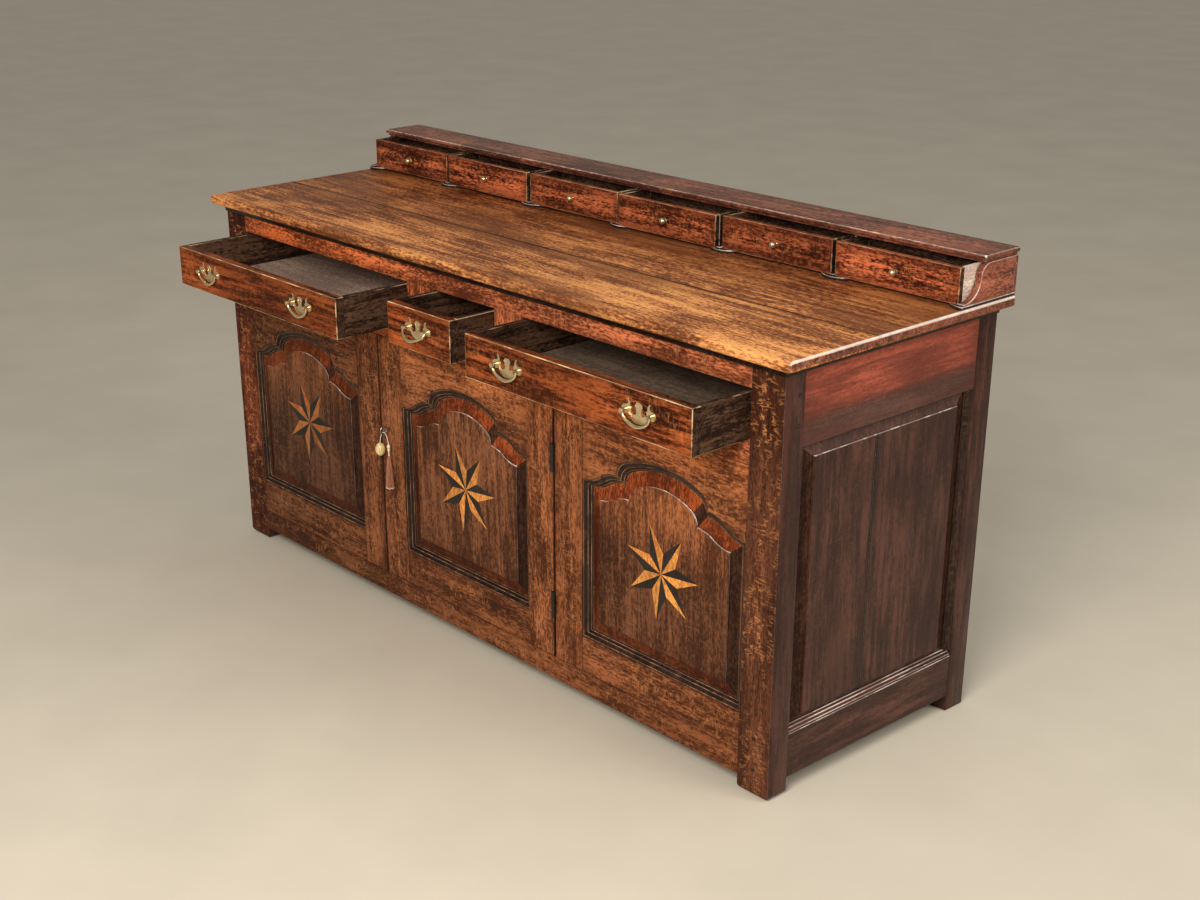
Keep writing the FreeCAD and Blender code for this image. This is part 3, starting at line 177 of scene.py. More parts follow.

# How colours change along an axis: the axis, where the change starts and ends, and the shares at its end
# Painted light and shade on the front: darker towards the left, and lighter above z 0.64, on the frames' top rails
# just under the drawers, against the drawers' shadow
FRONT_PAINTED_LIGHT_AND_SHADE = ((0, 0.25, -0.85, (0.41, 0.47, 0.55)), (2, 0.64, 0.54, (0.527, 0.570, 0.655)))
FRIEZE_FADES = ((0, 0.10, -0.60, (1.40, 1.10, 0.72)),)
POST_FADES = ((2, 0.55, 0.70, (0.40, 0.38, 0.38)), (0, 0.50, -0.50, (1.35, 0.88, 0.72)))
# Painted shade on the fixed panels and their lit slopes: darker towards the bottom and towards the left
PANEL_PAINTED_SHADE = ((2, 0.53, 0.34, (0.42, 0.48, 0.62)), (0, 0.20, -0.20, (0.55, 0.60, 0.66)))
# Painted shade on the stars' light halves: darker towards the left
STAR_PAINTED_SHADE = ((0, -0.10, -0.40, (0.56, 0.46, 0.52)),)
SIDE_RAIL_FADES = ((2, 0.745, 0.715, (0.27, 0.70, 0.95)),)
# Painted light on the drawers' floors: a paler strip along the front edge; the floors are also darker towards the
# right
DRAWER_FLOOR_PAINTED_LIGHT = ((0, -0.20, 0.25, (0.27, 0.26, 0.24)), (1, -0.325, -0.290, (0.64, 0.62, 0.60)))

# The tassel's threads: how far in they lie, how they are trimmed and how they sway, and its pale ends
THREAD_INWARD = (0.08, 1.0)
THREAD_TRIM = (0.965, 1.0)
THREAD_SWAY = (-0.12, 0.12)
CUT_END_HEIGHT = 0.006
HEAD_TURN_HEIGHT = 0.004
HEAD_PALENESS = 0.85
HEAD_STEPS = 24
CORD_RADIUS = 0.0008

# Where each board's grain starts and how far it leans, by chance
GRAIN_SHIFT = 9
GRAIN_LEAN = 0.05

# The stage, in metres
FLOOR_SIZE = 20
KEY_LAMP_PLACE = (1.9, -3.0, 2.6)
FILL_LAMP_PLACE = (4.0, 1.0, 2.4)
LAMP_WIDTH = 1.8
LAMP_AIM = Vector((0, 0, 0.5))
SENSOR_WIDTH = 36


# Properties

def tint(label, default, words):
    """A colour that a user may change."""
    return FloatVectorProperty(
        name=label, description=words, subtype="COLOR", size=3, min=0, max=1, default=default)


def measure(label, default, words, **kind):
    """A number that a user may change, with its least value and its unit or subtype."""
    return FloatProperty(name=label, description=words, default=default, **kind)


def length(label, default, words):
    """A length that a user may change."""
    return measure(label, default, words, min=0, unit="LENGTH", precision=4)


class DresserTimber(bpy.types.PropertyGroup):
    """How far each kind of timber is rounded by wear."""

    post_rounding: length("Post rounding", 0.0030, "Rounding of the posts' arrises")
    rail_rounding: length("Rail rounding", 0.0012, "Rounding of rails, stiles and muntins")
    panel_rounding: length("Panel rounding", 0.0016, "Rounding of the panels' raised fields")
    moulding_rounding: length("Moulding rounding", 0.0006, "Rounding of the mouldings' arrises")
    top_rounding: length("Top rounding", 0.0045, "Rounding of the table top's boards")
    drawer_rounding: length("Drawer rounding", 0.0014, "Rounding of the drawers' boards")
    gallery_rounding: length("Gallery rounding", 0.0014, "Rounding of the gallery's boards")
    cap_rounding: length("Cap rounding", 0.0024, "Rounding of the gallery's top board")
    raw_rounding: length("Raw board rounding", 0.0010, "Rounding of the unseen boards")


class DresserColours(bpy.types.PropertyGroup):
    """Colours of the finishes."""

    front_oak: tint("Front oak", (0.400, 0.118, 0.038), "Rails and stiles of the front")
    frieze_oak: tint("Frieze oak", (0.470, 0.122, 0.046), "Rail over the frieze drawers")
    post_oak: tint("Post oak", (0.128, 0.042, 0.019), "Fronts of the posts")
    panel_oak: tint("Panel oak", (0.275, 0.087, 0.031), "Fielded panels")
    door_panel_oak: tint("Door panel oak", (0.160, 0.056, 0.024), "Fielded panel of the door")
    # The panels' slopes come as a painted lit copy and a painted shaded copy of one finish, by the way they face
    lit_bevel_oak: tint("Lit bevel oak", (0.270, 0.053, 0.0140), "Sloping margins of the fielded panels")
    shaded_bevel: tint("Shaded bevel", (0.045, 0.017, 0.009), "Sloping margins that face away from the key")
    moulding_oak: tint("Moulding oak", (0.024, 0.011, 0.007), "Mouldings round the panels and under the top")
    top_oak: tint("Top oak", (0.630, 0.210, 0.066), "Boards of the table top")
    side_oak: tint("Side oak", (0.075, 0.026, 0.017), "Panels and posts of the ends")
    # A painted lit copy of the ends' oak, for the upper slopes of their panels
    lit_side_slope: tint("Side slope", (0.120, 0.056, 0.044), "Upper slopes of the ends' panels")
    side_rail_oak: tint("Side rail oak", (0.320, 0.064, 0.034), "Upper rails of the ends")
    gallery_oak: tint("Gallery oak", (0.270, 0.080, 0.042), "Boards of the gallery")
    drawer_oak: tint("Drawer oak", (0.255, 0.055, 0.0135), "Fronts of the frieze drawers")
    spice_oak: tint("Spice drawer oak", (0.330, 0.078, 0.028), "Fronts of the spice drawers")
    raw_oak: tint("Raw oak", (0.056, 0.027, 0.015), "Drawer sides, back and inside")
    back_oak: tint("Back oak", (0.075, 0.043, 0.027), "Boards of the back and of the cupboard's inside")
    # Painted highlight on the upper turn of the gallery top's nose
    cap_nose_highlight: tint("Cap nose", (0.520, 0.340, 0.250), "Rubbed nose of the gallery's top board")
    # Painted lit copy of the drawer sides' oak, for the one side seen in the light
    lit_drawer_side: tint("Pale side", (0.900, 0.640, 0.500), "Right side of the last spice drawer")
    drawer_floor: tint("Drawer floor", (0.660, 0.460, 0.335), "Bottoms of the frieze drawers")
    fleck: tint("Fleck", (0.850, 0.330, 0.110), "Rays that show as light flecks in the oak")
    worn_oak: tint("Worn oak", (0.550, 0.260, 0.120), "Arrises that wear has made lighter")
    pale_edge: tint("Pale edge", (0.800, 0.560, 0.300), "Arrises that are worn down to pale wood")
    # Painted highlight: a pale colour laid on rounded arrises that face the light
    painted_highlight: tint("Glint", (1.000, 0.860, 0.720), "Rubbed edges of the raised fields")
    light_inlay: tint("Light inlay", (0.780, 0.300, 0.062), "Light halves of the stars")
    dark_inlay: tint("Dark inlay", (0.024, 0.018, 0.013), "Dark halves of the stars")
    brass: tint("Brass", (0.880, 0.720, 0.440), "Plates, bails and knobs")
    iron: tint("Iron", (0.040, 0.034, 0.030), "Hinges, lock and bolt")
    key_iron: tint("Key iron", (0.360, 0.330, 0.300), "Key, rubbed bright by handling")
    bead: tint("Bead", (0.800, 0.610, 0.270), "Oval bead on the key's cord")
    thread: tint("Thread", (0.390, 0.125, 0.041), "Tassel")
    cord: tint("Cord", (0.860, 0.730, 0.570), "Cord of the tassel")
    thread_end: tint("Thread end", (0.950, 0.800, 0.560), "Cut ends of the tassel's threads")


class DresserFittings(bpy.types.PropertyGroup):
    """Sizes of the small fittings that this script shapes."""

    bail_end_radius: length("Bail end radius", 0.0019, "Radius of a bail's rod at its ends")
    bail_middle_radius: length("Bail middle radius", 0.0033, "Radius of a bail's rod at its middle")
    plate_rounding: length("Plate rounding", 0.0006, "Rounding of the back plates' edges")
    thread_radius: length("Thread radius", 0.00045, "Radius of one of the tassel's threads")
    thread_count: IntProperty(
        name="Threads", description="Threads in the tassel's skirt", default=150, min=20, max=400)


class DresserStage(bpy.types.PropertyGroup):
    """Floor, light and camera."""

    floor: tint("Floor", (0.640, 0.550, 0.410), "Colour of the floor")
    backdrop: tint("Backdrop", (0.270, 0.250, 0.210), "What is seen beyond the floor")
    surround: tint("Surround", (0.500, 0.510, 0.530), "Light that comes from all round")
    surround_strength: measure("Surround strength", 0.60, "Strength of the light from all round", min=0)
    key_power: measure("Key power", 145, "Power of the large lamp in front", min=0, unit="POWER")
    fill_power: measure("Fill power", 65, "Power of the lamp on the right", min=0, unit="POWER")
    camera_place: FloatVectorProperty(
        name="Camera place", description="Where the camera stands", subtype="XYZ", size=3, unit="LENGTH",
        default=(2.7033, -2.2932, 1.6934))
    camera_turn: measure(
        "Camera turn", math.radians(49.392), "Turn of the camera round the dresser", subtype="ANGLE")
    camera_rise: measure(
        "Camera rise", math.radians(22.680), "Angle that the camera looks down", subtype="ANGLE")
    camera_roll: measure("Camera roll", math.radians(-0.5897), "Tilt of the camera", subtype="ANGLE")
    camera_lens: measure("Lens", 52.34, "Focal length in millimetres", min=1)
    camera_shift: FloatVectorProperty(
        name="Shift", description="Shift of the picture's middle", size=2, default=(0.0459, 0.0681))


# Shader helpers

def feed(tree, socket, value):
    """Links a socket to another one, or sets its value."""
    if isinstance(value, bpy.types.NodeSocket):
        tree.links.new(value, socket)
    else:
        socket.default_value = value


def feed_all(tree, node, values):
    """Feeds the inputs of a node by their names."""
    for label, value in values.items():
        feed(tree, node.inputs[label], value)


def calc(tree, operation, *values, clamp=False):
    """A Math node."""
    node = tree.nodes.new("ShaderNodeMath")
    node.operation = operation
    node.use_clamp = clamp
    for socket, value in zip(node.inputs, values):
        feed(tree, socket, value)
    return node.outputs[0]


def vector_calc(tree, operation, *values):
    """A Vector Math node."""
    node = tree.nodes.new("ShaderNodeVectorMath")
    node.operation = operation
    for socket, value in zip(node.inputs, values):
        feed(tree, socket, value)
    return node.outputs[0]


def noise(tree, vector, stretch, detail=3.0, roughness=0.55, distortion=0.0):
    """Noise over a vector that is first stretched along its own axes."""
    node = tree.nodes.new("ShaderNodeTexNoise")
    feed_all(tree, node, {
        "Vector": vector_calc(tree, "MULTIPLY", vector, stretch), "Scale": 1.0,
        "Detail": detail, "Roughness": roughness, "Distortion": distortion,
    })
    return node.outputs["Fac"]


def span(tree, value, low, high, to_low=0.0, to_high=1.0):
    """Maps a stretch of a value smoothly onto another stretch."""
    node = tree.nodes.new("ShaderNodeMapRange")
    node.interpolation_type = "SMOOTHSTEP"
    for socket, setting in zip(node.inputs, (value, low, high, to_low, to_high)):
        feed(tree, socket, setting)
    return node.outputs[0]


def mix(tree, factor, first, second, blend="MIX"):
    """Mixes two colours."""
    node = tree.nodes.new("ShaderNodeMix")
    node.data_type = "RGBA"
    node.blend_type = blend
    feed(tree, node.inputs[0], factor)
    for socket, colour in zip((node.inputs[6], node.inputs[7]), (first, second)):
        feed(tree, socket, colour)
    return node.outputs[2]


def lay_over(tree, under, over, mask, share):
    """Lays a share of one colour over another one where a mask shows."""
    return mix(tree, calc(tree, "MULTIPLY", mask, share), under, over)


def opaque(colour, shares=FULL_COLOUR):
    """A colour times shares of its red, green and blue, with full alpha."""
    return tuple(min(1.0, value * part) for value, part in zip(colour, shares)) + (1.0,)


def ramp(tree, value, colour, *stops):
    """A ramp between kinds of one colour: each stop has its place and its shares of red, green and blue."""
    node = tree.nodes.new("ShaderNodeValToRGB")
    points = node.color_ramp.elements
    while len(points) < len(stops):
        points.new(0.5)
    for point, (place, shares) in zip(points, stops):
        point.position = place
        point.color = opaque(colour, shares)
    tree.links.new(value, node.inputs[0])
    return node.outputs[0]


def attribute(tree, name):
    """An attribute of the piece's own mesh."""
    node = tree.nodes.new("ShaderNodeAttribute")
    node.attribute_name = name
    return node.outputs


def object_place(tree):
    """The place of a point in the dresser's own frame."""
    return tree.nodes.new("ShaderNodeTexCoord").outputs["Object"]


def along_axis(tree, axis):
    """How far a point lies along an axis of the dresser."""
    parts = tree.nodes.new("ShaderNodeSeparateXYZ")
    tree.links.new(object_place(tree), parts.inputs[0])
    return parts.outputs[axis]


def bump(tree, height, strength, distance):
    """A bump node's normal."""
    node = tree.nodes.new("ShaderNodeBump")
    feed_all(tree, node, {"Height": height, "Strength": strength, "Distance": distance})
    return node.outputs[0]


def shader_group(name, inputs, outputs):
    """An empty shader node group with its sockets, what it is given, and the node that takes its results."""
    tree = bpy.data.node_groups.new(name, "ShaderNodeTree")
    for label, kind in inputs:
        tree.interface.new_socket(label, in_out="INPUT", socket_type=kind)
    for label in outputs:
        tree.interface.new_socket(label, in_out="OUTPUT", socket_type="NodeSocketFloat")
    return tree, tree.nodes.new("NodeGroupInput").outputs, tree.nodes.new("NodeGroupOutput")


def placed_group(tree, name, values):
    """Places a shader node group in a material and gives back its outputs."""
    node = tree.nodes.new("ShaderNodeGroup")
    node.node_tree = bpy.data.node_groups[name]
    feed_all(tree, node, values)
    return node.outputs


def figure_group():
    """Oak's figure along the grain: its tone, its light rays, its dark pores and its broad stains."""
    sockets = [("Grain", "NodeSocketVector"), ("Speckle", "NodeSocketFloat"), ("Streak", "NodeSocketFloat")]
    tree, given, result = shader_group("Oak figure", sockets, ("Tone", "Fleck", "Pore", "Stain"))
    grain = given["Grain"]
    streak = noise(tree, grain, STREAKS, detail=5, roughness=0.70, distortion=0.3)
    speckle = noise(tree, grain, SPECKLES, detail=2, roughness=0.6)
    blot = noise(tree, grain, BLOTS, detail=3, roughness=0.55, distortion=0.4)
    total = 0.5
    for part, share in ((blot, BLOT_SHARE), (speckle, given["Speckle"]), (streak, given["Streak"])):
        total = calc(tree, "MULTIPLY_ADD", calc(tree, "SUBTRACT", part, 0.5), share, total)
    ripple = noise(tree, grain, RIPPLES, detail=1.5, roughness=0.5, distortion=0.8)
    ridge = calc(tree, "ABSOLUTE", calc(tree, "SUBTRACT", ripple, 0.5))
    patch = span(tree, noise(tree, grain, RAY_PATCHES, detail=2), 0.36, 0.52)
    stroke = span(tree, noise(tree, grain, RAY_STROKES, detail=1), 0.44, 0.56)
    ray = calc(tree, "MULTIPLY", span(tree, ridge, 0.0, 0.075, 1.0, 0.0), stroke)
    feed_all(tree, result, {
        "Tone": span(tree, total, *TONE_SPAN),
        "Fleck": calc(tree, "MULTIPLY", ray, patch),
        "Pore": span(tree, noise(tree, grain, PORES, detail=2), 0.57, 0.66),
        "Stain": span(tree, noise(tree, grain, STAINS, detail=4), 0.44, 0.62),
    })


def arris_group():
    """How worn a board is near its arrises, with the painted highlight of lit arrises, and how near it lies to its
    edges, from its distances to its own low and high corners.
    """
    sockets = [("Low", "NodeSocketVector"), ("High", "NodeSocketVector")]
    sockets += [(label, "NodeSocketFloat") for label in ("Break", "Width", "Arris", "Even")]
    tree, given, result = shader_group("Arris wear and painted light", sockets, ("Worn", "Near"))
    parts = tree.nodes.new("ShaderNodeSeparateXYZ")
    tree.links.new(vector_calc(tree, "MINIMUM", given["Low"], given["High"]), parts.inputs[0])
    x, y, z = parts.outputs
    lesser = calc(tree, "MINIMUM", x, y)
    greater = calc(tree, "MAXIMUM", x, y)
    distance = calc(tree, "MAXIMUM", lesser, calc(tree, "MINIMUM", greater, z))
    reach = calc(tree, "MULTIPLY", given["Width"], calc(tree, "MULTIPLY_ADD", given["Break"], *CHIP_REACH))
    depth = calc(tree, "DIVIDE", distance, calc(tree, "MAXIMUM", reach, LEAST_WEAR))
    worn = calc(tree, "SUBTRACT", 1.0, depth, clamp=True)
    broken = calc(tree, "MAXIMUM", span(tree, given["Break"], 0.42, 0.60), given["Even"])
    # Arris carries each rounded arris's mark: wear, and on lit pieces a painted highlight by the way it faces
    edge = calc(tree, "MULTIPLY", given["Arris"], broken)
    feed_all(tree, result, {
        "Worn": calc(tree, "MAXIMUM", worn, edge),
        "Near": span(tree, distance, 0.0, EDGE_DARKENING_REACH, 1.0, 0.0),
    })


def shader_of(name):
    """A new material with its tree and its Principled shader."""
    material = bpy.data.materials.new(name)
    material.use_nodes = True
    tree = material.node_tree
    return material, tree, next(node for node in tree.nodes if node.type == "BSDF_PRINCIPLED")


def own_shade(tree, colour, shades):
    """Makes each board darker or lighter by the shade that chance gave it."""
    board = vector_calc(tree, "SCALE", colour)
    feed(tree, board.node.inputs["Scale"], span(tree, attribute(tree, "shade")["Fac"], 0.0, 1.0, *shades))
    return board


def fade(tree, colour, axis, start, end, shares):
    """Changes a colour along an axis of the dresser, to shares of it from start to end."""
    return mix(tree, span(tree, along_axis(tree, axis), start, end), colour, (*shares, 1.0), "MULTIPLY")


def seam_line(tree, colour, axis, place, width):
    """Draws a thin dark line at a place along an axis of the dresser, for a joint between boards and for the
    painted shadow in the door's gaps.
    """
    distance = calc(tree, "ABSOLUTE", calc(tree, "SUBTRACT", along_axis(tree, axis), place))
    line = span(tree, distance, width / 2, width, SEAM_SHARE, 0.0)
    return mix(tree, line, colour, (*SEAM_SHADE, 1.0), "MULTIPLY")


def oak(name, colour, worn, flecks=0.4, wear=0.2, wear_width=0.0, even=0.0, edge_darkening=0.3, stains=0.2, gloss=0.46,
        shine=0.07, polish=0.0, contrast=1.0, pores=0.5, speckle=0.42, streak=0.32, fades=(), seams=()):
    """Old oak: streaked tone, rays, pores, stains, darker margins near each board's edges, and arrises in a given
    colour: wear in worn colours, a painted highlight in the highlight colour, painted shade in the dark moulding
    colour.
    """
    material, tree, shader = shader_of(name)
    grain = attribute(tree, "grain")["Vector"]
    figure = placed_group(tree, "Oak figure", {"Grain": grain, "Speckle": speckle, "Streak": streak})
    chips = noise(tree, grain, CHIPS, detail=4, roughness=0.65)
    arris = placed_group(tree, "Arris wear and painted light", {
        "Low": attribute(tree, "low")["Vector"], "High": attribute(tree, "high")["Vector"],
        "Break": chips, "Width": wear_width, "Arris": attribute(tree, "arris")["Fac"], "Even": even,
    })
    tone = ramp(
        tree, figure["Tone"], colour,
        (0.0, [1 - part * contrast for part in TONE_DARK]),
        (0.5, [1 - part * contrast for part in TONE_MIDDLE]),
        (1.0, [1 + part * contrast for part in TONE_LIGHT]))
    board = own_shade(tree, tone, BOARD_SHADES)
    for row in fades:
        board = fade(tree, board, *row)
    layers = (
        (opaque(bpy.context.scene.dresser_colours.fleck), figure["Fleck"], flecks),
        (opaque(colour, STAIN_SHARES), figure["Stain"], stains),
        (opaque(colour, PORE_SHARES), figure["Pore"], pores),
        (opaque(colour, EDGE_DARKENING_SHARES), arris["Near"], edge_darkening),
    )
    for over, mask, share in layers:
        board = lay_over(tree, board, over, mask, share)
    for row in seams:
        board = seam_line(tree, board, *row)
    rough = calc(tree, "MULTIPLY_ADD", chips, CHIP_ROUGHNESS, gloss - CHIP_ROUGHNESS / 2)
    height = calc(tree, "SUBTRACT", calc(tree, "MULTIPLY", figure["Tone"], TONE_HEIGHT), figure["Pore"])
    feed_all(tree, shader, {
        # The given edge colour lies over worn and rounded arrises: wear in worn colours, a painted highlight in
        # the highlight colour, painted shade in the dark moulding colour
        "Base Color": lay_over(tree, board, opaque(worn), arris["Worn"], wear),
        "Roughness": calc(tree, "MULTIPLY_ADD", figure["Pore"], PORE_ROUGHNESS, rough),
        "Specular IOR Level": shine,
        "Coat Weight": polish,
        "Coat Roughness": COAT_ROUGHNESS,
        "Normal": bump(tree, height, 0.25, 0.0008),
    })
    return material


def inlay(name, colour, fades=()):
    """Thin slips of wood let into the panels."""
    material, tree, shader = shader_of(name)
    grain = attribute(tree, "grain")["Vector"]
    figure = placed_group(tree, "Oak figure", {"Grain": grain, "Speckle": 0.42, "Streak": 0.32})
    tone = ramp(
        tree, figure["Tone"], colour,
        (0.0, (0.62, 0.52, 0.45)), (0.6, FULL_COLOUR), (1.0, (1.25, 1.3, 1.4)))
    specks = span(tree, noise(tree, grain, SLIP_SPECKS, detail=2), 0.60, 0.68)
    slip = own_shade(tree, lay_over(tree, tone, opaque(colour, SPECK_SHARES), specks, 0.7), SLIP_SHADES)
    for row in fades:
        slip = fade(tree, slip, *row)
    feed_all(tree, shader, {
        "Base Color": slip,
        "Roughness": calc(tree, "MULTIPLY_ADD", figure["Tone"], 0.12, 0.34),
        "Specular IOR Level": 0.2,
        "Normal": bump(tree, figure["Pore"], 0.15, 0.0005),
    })
    return material


def metal(name, colour, tarnish, rough, metallic, patch_size):
    """Old metal with tarnish in patches and fine dents."""
    material, tree, shader = shader_of(name)
    place = object_place(tree)
    patches = noise(tree, place, (patch_size,) * 3, detail=4, roughness=0.6)
    spots = span(tree, patches, 0.42, 0.66)
    shiny = ramp(
        tree, patches, colour,
        (0.25, (0.80, 0.78, 0.72)), (0.60, FULL_COLOUR), (0.85, (1.15, 1.15, 1.2)))
    dents = noise(tree, place, (patch_size * DENTS_IN_PATCH,) * 3, detail=2)
    feed_all(tree, shader, {
        "Base Color": lay_over(tree, shiny, opaque(colour, TARNISH_SHARES), spots, tarnish),
        "Metallic": metallic,
        "Roughness": calc(tree, "MULTIPLY_ADD", spots, TARNISH_ROUGHNESS, rough),
        "Normal": bump(tree, dents, 0.15, 0.0004),
    })
    return material


def bone(name, colour):
    """Polished bone with a fine grain of paler and darker lines."""
    material, tree, shader = shader_of(name)
    grain = noise(tree, object_place(tree), BONE_GRAIN, detail=4)
    tone = ramp(
        tree, grain, colour,
        (0.25, (0.62, 0.52, 0.40)), (0.55, FULL_COLOUR), (0.85, (1.2, 1.25, 1.5)))
    feed_all(tree, shader, {
        "Base Color": tone,
        "Roughness": calc(tree, "MULTIPLY_ADD", grain, 0.25, 0.20),
        "Coat Weight": 0.4,
        "Coat Roughness": COAT_ROUGHNESS,
        "Normal": bump(tree, grain, 0.12, 0.0004),
    })
    return material


def thread(name, colour, end_colour, end_height, head_height):
    """Silk thread that pales towards its cut ends and its bound head."""
    material, tree, shader = shader_of(name)
    strands = noise(tree, object_place(tree), SILK_STRANDS, detail=2)
    tone = ramp(
        tree, strands, colour,
        (0.30, (0.34, 0.28, 0.24)), (0.52, FULL_COLOUR), (0.72, (1.5, 1.6, 1.7)))
    height = along_axis(tree, 2)
    ends = span(tree, height, end_height, end_height + CUT_END_HEIGHT, 1.0, 0.0)
    head = span(tree, height, head_height - HEAD_TURN_HEIGHT, head_height, 0.0, HEAD_PALENESS)
    feed_all(tree, shader, {
        "Base Color": mix(tree, calc(tree, "MAXIMUM", ends, head), tone, opaque(end_colour)),
        "Roughness": calc(tree, "MULTIPLY_ADD", strands, 0.3, 0.45),
        "Sheen Weight": 0.4,
        "Normal": bump(tree, strands, 0.3, 0.0004),
    })
    return material


# Finishes

def board_seam(node, near):
    """The joint between two boards of a node, at the depth of its corners that is nearest to a place."""
    depths = {round(vert.co.y, 4) for vert in frame["nodes"][node].data.vertices}
    return 1, min(depths, key=lambda depth: abs(depth - near)), SEAM_WIDTH


def front_finishes(colours):
    """Oak of the front's frame, panels and mouldings, and the stars that are let in."""
    worn, painted_highlight = colours.worn_oak, colours.painted_highlight
    # Dark lines beside the door, painted as the shadow in its gaps
    door_gap_shadows = [(0, corner.x, DOOR_GAP_SHADOW_WIDTH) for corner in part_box("door_frame")]
    # The front's rounded arrises take the dark moulding colour as painted shade along its gaps
    for name, seams in (("Front oak", door_gap_shadows), ("Base oak", ())):
        oak(name, colours.front_oak, colours.moulding_oak, flecks=0.28, wear=0.80, even=0.55, contrast=0.92,
            speckle=0.36, streak=0.42, fades=FRONT_PAINTED_LIGHT_AND_SHADE, seams=seams)
    oak("Frieze oak", colours.frieze_oak, worn, flecks=0.40, wear=0.25, edge_darkening=0.50, contrast=0.98,
        streak=0.42, fades=FRIEZE_FADES)
    oak("Post oak", colours.post_oak, worn, flecks=0.55, wear=0.35, edge_darkening=0.40, stains=0.40, contrast=0.85,
        speckle=0.30, fades=POST_FADES)
    field = dict(
        flecks=0.09, wear=0.95, even=0.45, edge_darkening=0.10, gloss=0.38, pores=0.45, speckle=0.32, streak=0.42)
    oak("Panel oak", colours.panel_oak, painted_highlight, contrast=0.78, fades=PANEL_PAINTED_SHADE, **field)
    oak("Door panel oak", colours.door_panel_oak, painted_highlight, contrast=0.80, **field)
    slope = dict(edge_darkening=0.0, gloss=0.34, contrast=0.70)
    # Painted lit and shaded copies of the slopes' finish
    oak("Lit bevel oak", colours.lit_bevel_oak, painted_highlight, flecks=0.05, wear=0.95, even=0.45, fades=PANEL_PAINTED_SHADE, **slope)
    oak("Shaded bevel oak", colours.shaded_bevel, painted_highlight, flecks=0.03, wear=0.90, even=0.35, **slope)
    oak("Moulding oak", colours.moulding_oak, worn, flecks=0.05, wear=0.90, even=0.35, edge_darkening=0.0, gloss=0.36,
        shine=0.20, contrast=0.70)
    inlay("Light inlay", colours.light_inlay, fades=STAR_PAINTED_SHADE)
    inlay("Dark inlay", colours.dark_inlay)


def top_and_end_finishes(colours):
    """Oak of the table top, and of the ends with their panels and rails."""
    painted_highlight = colours.painted_highlight
    low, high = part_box("top_boards")
    # Painted reflection on the top: darker towards the back, and lighter and warmer towards the left
    top_painted_reflection = (
        (1, low.y + 0.06, high.y - 0.14, (0.42, 0.35, 0.33)),
        (0, high.x - 0.50, low.x, (1.10, 1.02, 0.95)),
    )
    oak("Top oak", colours.top_oak, painted_highlight, flecks=0.08, wear=0.75, even=0.80, edge_darkening=0.0, stains=0.65,
        gloss=0.46, shine=0.08, polish=0.05, contrast=0.95, speckle=0.36, streak=0.46, fades=top_painted_reflection,
        seams=[board_seam("top_boards", 0)])
    end = dict(flecks=0.03, wear=0.65, even=0.35, edge_darkening=0.25, gloss=0.32, shine=0.22, pores=0.25)
    board = dict(end, contrast=0.68, stains=0.45, speckle=0.18, streak=0.52)
    low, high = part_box("side_panels")
    middle = board_seam("side_panels", (low.y + high.y) / 2)
    oak("Side oak", colours.side_oak, painted_highlight, **board)
    oak("Side panel oak", colours.side_oak, painted_highlight, seams=[middle], **board)
    # Painted lit copy of the ends' oak, for the upper slopes
    oak("Lit side slope oak", colours.lit_side_slope, painted_highlight, contrast=0.40, **end)
    oak("Side rail oak", colours.side_rail_oak, colours.worn_oak, flecks=0.06, wear=0.35, edge_darkening=0.35,
        gloss=0.32, shine=0.22, contrast=0.48, pores=0.35, stains=0.40, speckle=0.18, streak=0.46,
        fades=SIDE_RAIL_FADES)


def gallery_and_drawer_finishes(colours):
    """Oak of the gallery, of the drawers and of the boards behind them."""
    worn, pale, painted_highlight = colours.worn_oak, colours.pale_edge, colours.painted_highlight
    gallery = dict(flecks=0.06, edge_darkening=0.25, stains=0.40, gloss=0.34, shine=0.25, contrast=0.95, speckle=0.34)
    oak("Gallery oak", colours.gallery_oak, painted_highlight, wear=0.65, even=0.45, **gallery)
    oak("Cap oak", colours.gallery_oak, painted_highlight, wear=0.80, even=0.90, **gallery)
    # Painted highlight on the upper turn of the cap's nose
    oak("Nose highlight oak", colours.cap_nose_highlight, painted_highlight, flecks=0.02, wear=0.80, even=0.90, edge_darkening=0.0, stains=0.60,
        gloss=0.34, shine=0.25, contrast=0.60)
    oak("Tongue oak", colours.moulding_oak, painted_highlight, flecks=0.03, wear=0.90, even=0.50, edge_darkening=0.0, gloss=0.36,
        shine=0.15, contrast=0.70)
    oak("Drawer front oak", colours.drawer_oak, pale, flecks=0.20, wear=0.95, wear_width=0.0014, even=0.25,
        edge_darkening=0.35, stains=0.50, contrast=1.15, speckle=0.26, streak=0.70)
    oak("Spice front oak", colours.spice_oak, worn, flecks=0.25, wear=0.85, wear_width=0.001, even=0.35,
        edge_darkening=0.60, contrast=1.15, streak=0.54)
    oak("Raw oak", colours.raw_oak, pale, flecks=0.03, wear=0.50, wear_width=0.0010, gloss=0.60,
        contrast=0.95, streak=0.62)
    oak("Back oak", colours.back_oak, worn, flecks=0.02, wear=0.10, edge_darkening=0.85, gloss=0.70, contrast=0.80,
        streak=0.45)
    # Painted lit copy of the raw oak of drawer sides
    oak("Lit drawer side oak", colours.lit_drawer_side, pale, flecks=0.02, wear=0.10, gloss=0.66, contrast=0.35)
    oak("Drawer floor oak", colours.drawer_floor, pale, flecks=0.03, wear=0.1, edge_darkening=0.2, gloss=0.72,
        contrast=0.45, fades=DRAWER_FLOOR_PAINTED_LIGHT)


